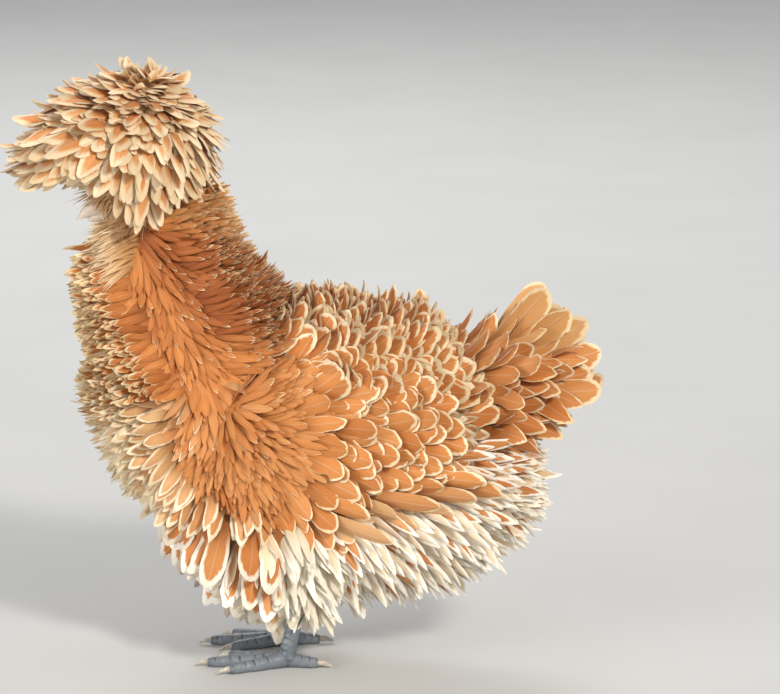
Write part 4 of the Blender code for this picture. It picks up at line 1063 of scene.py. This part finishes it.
def ring_of_lids(name, side):
    """The bare lids: a wrinkled ring round the eye, drawn to a corner before and behind."""
    around, section = rounds(math.tau * np.arange(48) / 48, 12)
    reach = EYE_RADIUS + 0.2 + 1.1 * np.abs(np.cos(around)) ** 6 + 0.12 * np.sin(9 * around)
    fat = 0.95 + 0.16 * np.sin(14 * around) + 0.2 * np.sin(around)
    rim = reach + fat * np.cos(section)
    out = side * (EYE_OUT + 1.1 + 1.5 * fat * np.sin(section))
    places = (EYE_X + rim * np.cos(around), out, EYE_UP + 0.82 * rim * np.sin(around))
    return tube(name, in_frame(np.stack(places, axis=-1)), 12, loop=True)


for name, side in SIDES.items():
    bpy.ops.mesh.primitive_uv_sphere_add(segments=40, ring_count=24, radius=EYE_RADIUS * MM)
    eye = bpy.context.object
    eye.name = f"eye_ball_{name}"
    for vert in eye.data.vertices:
        swelling = max(0.0, side * vert.co.y / (EYE_RADIUS * MM) - CORNEA_FROM)
        vert.co.y += side * CORNEA_SWELL * MM * swelling
    eye.location = in_frame((EYE_X, side * EYE_OUT, EYE_UP))
    eye.data.shade_smooth()
    hand_over(eye, EYE_FINISH, "iris", f"eye_{name}")
    hand_over(ring_of_lids(f"lids_{name}", side), FLESH, "face_skin", "head")


# Bill: two curved horn sheaths that close along the line of the mouth, the upper one hooked over the
# lower, with the raised open nostrils of a crested hen in the fleshy base.
UPPER_BILL = (
    (-96, 307.5, 8.4, 7.4),
    (-106, 305.5, 7.6, 6),
    (-115, 303, 5.6, 4.4),
    (-121.5, 298, 3, 2.4),
    (-124.5, 292.5, 0, 0),
)
LOWER_BILL = (
    (-96, 303.4, 6.4, 6),
    (-106, 301, 5, 5),
    (-113, 298.5, 3.6, 3.4),
    (-118, 296.5, 0, 0),
)
BILL_RINGS, BILL_CORNERS = 44, 40
MOUTH_FRONT, MOUTH_BACK = np.array((-122.0, 297.4)), np.array((-96.0, 304.2))
NOSTRIL, NOSTRIL_RADII = (-110.5, 4.6, 306.4), np.array((3.2, 3.0, 1.7))
NOSTRIL_LIP, NOSTRIL_SINK = 0.9, 2.0
HORN = ((0.72, 0.59, 0.45), (0.86, 0.76, 0.64))
PINK = ((0.40, 0.19, 0.13), (0.56, 0.32, 0.24))


def bill_material():
    """Pale horn, pinkish brown at the nostrils, with fine growth lines."""
    made, tree = new_material("bill_horn", Roughness=0.38, Specular_IOR_Level=0.5)
    x, y, z = add_node(tree, "SeparateXYZ", {"Vector": object_place(tree)})
    base = spread(tree, x, (-119 + SHIFT) * MM, (-108 + SHIFT) * MM)
    high = spread(tree, z, 300 * MM, 306 * MM)
    lines = {"X": maths(tree, "MULTIPLY", x, 5.0), "Y": y, "Z": z}
    lines = add_node(tree, "CombineXYZ", lines)[0]
    growth = noise(tree, lines, 520.0, 3.0)
    share = spread(tree, growth, 0.3, 0.7)
    horn = blend(tree, share, *HORN)
    pink = blend(tree, share, *PINK)
    colour = blend(tree, maths(tree, "MULTIPLY", base, high), horn, pink)
    return finished(made, colour, growth, 0.25, 0.0003)


def bill(name, spine, upper):
    """One sheath, pressed flat along the line of the mouth, with the nostrils raised and sunk in it."""
    shares = np.sin(math.pi / 2 * np.arange(BILL_RINGS + 1) / BILL_RINGS)
    points = Form(spine).at(*rounds(shares, BILL_CORNERS))
    line = unit(MOUTH_FRONT - MOUTH_BACK)
    over = np.array((line[1], -line[0])) * (1 if upper else -1)
    away = points[:, [0, 2]] / MM - (SHIFT, 0) - MOUTH_BACK
    points[:, [0, 2]] -= np.minimum(away @ over, 0)[:, None] * over * MM
    for side in SIDES.values() if upper else ():
        hole = in_frame(np.array(NOSTRIL) * (1, side, 1))
        far = np.linalg.norm((points - hole) / NOSTRIL_RADII / MM, axis=1)
        lip, well = np.exp(-(((far - 1.0) / 0.45) ** 2)), np.exp(-((far / 0.5) ** 2))
        points[:, 1] += side * (NOSTRIL_LIP * lip - NOSTRIL_SINK * well) * MM
    made = tube(name, points, BILL_CORNERS)
    made.data.set_sharp_from_angle(angle=math.radians(50))
    return made


BILL_HORN = bill_material()
hand_over(bill("bill_upper", UPPER_BILL, True), BILL_HORN, "beak_horn", "beak_upper")
hand_over(bill("bill_lower", LOWER_BILL, False), BILL_HORN, "beak_horn", "beak_lower")


# Legs: clean slate-blue shanks with overlapping plates down the front and small scales behind, and
# four toes each, plated on top and padded below, that end in horn claws.
FOOT_X, STANCE, CLAW_LENGTH, PLATES = 12, 27, 11, 13
# Down the shank: x, height, half depth and half width.
SHANK_ROWS = (
    (27, 65, 6.6, 6.2),
    (23, 52, 5.0, 4.6),
    (18, 32, 4.8, 4.4),
    (14, 17, 5.2, 5.2),
    (12.5, 6, 5.6, 6.4),
)
# Each toe's way in degrees off straight ahead, and its length.
TOES = {"inner": (-24, 40), "middle": (0, 50), "outer": (26, 40), "hind": (172, 20)}
# Along a toe, and along its claw: the share of the length, the height, half depth and half width.
TOE_ROWS = (
    (-0.08, 6.4, 5.4, 5.2),
    (0.3, 4.6, 4.5, 4.4),
    (0.62, 3.9, 3.9, 4.1),
    (0.95, 3.4, 3.3, 3.4),
    (1.05, 3.2, 2.2, 2.4),
)
CLAW_ROWS = ((-0.3, 3.5, 2.3, 2.0), (0.3, 3.5, 2.0, 1.6), (0.7, 2.7, 1.3, 1.0), (1.0, 1.1, 0, 0))
SLATE = ((0.115, 0.135, 0.165), (0.20, 0.225, 0.255))
DUST, SEAM = (0.30, 0.29, 0.27), (0.05, 0.055, 0.065)
CLAW = ((0.40, 0.35, 0.29), (0.62, 0.56, 0.47))


def shank_material():
    """Slate-blue scales, darker where one plate slides under the next, with a dull waxy gloss."""
    made, tree = new_material("shank_scales", Roughness=0.42, Specular_IOR_Level=0.45)
    seam, _, tint, _ = marks_of(tree)
    place = object_place(tree)
    slate = blend(tree, tint, *SLATE)
    worn = blend(tree, spread(tree, noise(tree, place, 160.0, 4.0), 0.5, 0.8), slate, DUST)
    raised = maths(tree, "SUBTRACT", 1.0, seam)
    height = maths(tree, "MULTIPLY_ADD", cells(tree, place, 620.0), -0.6, raised)
    return finished(made, blend(tree, seam, worn, SEAM), height)


def claw_material():
    made, tree = new_material("claw_horn", Roughness=0.35, Specular_IOR_Level=0.5)
    streak = noise(tree, object_place(tree), 380.0, 3.0)
    return finished(made, blend(tree, spread(tree, streak, 0.35, 0.7), *CLAW))


SHANK_SCALES, CLAW_HORN = shank_material(), claw_material()


def plated(name, form, plates, step, rings=72, pads=0.0):
    """A limb with overlapping plates on its depth side, small scales behind, and pads below."""
    t, turn = rounds(np.linspace(0, 1, rings + 1), 24)
    on_top = eased(np.cos(turn), -0.1, 0.45)
    phase = t * plates % 1.0
    relief = on_top * (phase**0.7 - 0.5) * step
    relief += (1 - on_top) * 0.22 * np.sin(t * plates * 2 * math.tau) * np.sin(turn * 7)
    relief += pads * np.maximum(-np.cos(turn), 0) * np.sin(t * 3.5 * math.pi) ** 2
    made = tube(name, form.at(t, turn) + form.facing(t, turn) * relief[:, None] * MM, 24)
    tint = np.sin(np.floor(t * plates) * 12.9) * 0.5 + 0.5
    seam = on_top * (1 - eased(phase, 0.0, 0.16))
    values = np.stack((seam, seam, tint, np.ones(len(t))), axis=-1)
    paint(made.data, "Mark", values[: len(made.data.vertices)])
    return made


def on_floor(name, pieces):
    """One leg's pieces as one object, with nothing under the floor."""
    made = joined(name, pieces)
    for vert in made.data.vertices:
        vert.co.z = max(vert.co.z, 0.0)
    return made


for name, side in SIDES.items():
    y = side * STANCE
    scaly, claws = [plated("shank", Form(SHANK_ROWS, -BACKWARD, y), PLATES, 0.8)], []
    for turn, length in TOES.values():
        way_x, way_y = -math.cos(math.radians(turn)), side * math.sin(math.radians(turn))

        def toe_form(rows, begin, run):
            reach = [(begin + run * share, rest) for share, *rest in rows]
            return Form([(FOOT_X + way_x * far, y + way_y * far, *rest) for far, rest in reach])

        toe = toe_form(TOE_ROWS, 0, length)
        scaly.append(plated("toe", toe, max(5, length // 4), 0.6, rings=56, pads=0.5))
        claws.append(toe_form(CLAW_ROWS, length, CLAW_LENGTH).mesh("claw", 16, 14))
    leg = on_floor(f"leg_{name}", scaly)
    hand_over(leg, SHANK_SCALES, "shank_scale", f"shank_{name}", f"foot_{name}")
    nails = on_floor(f"claws_{name}", claws)
    hand_over(nails, CLAW_HORN, "claw_horn", *(f"claw_{name}_{toe}" for toe in TOES))
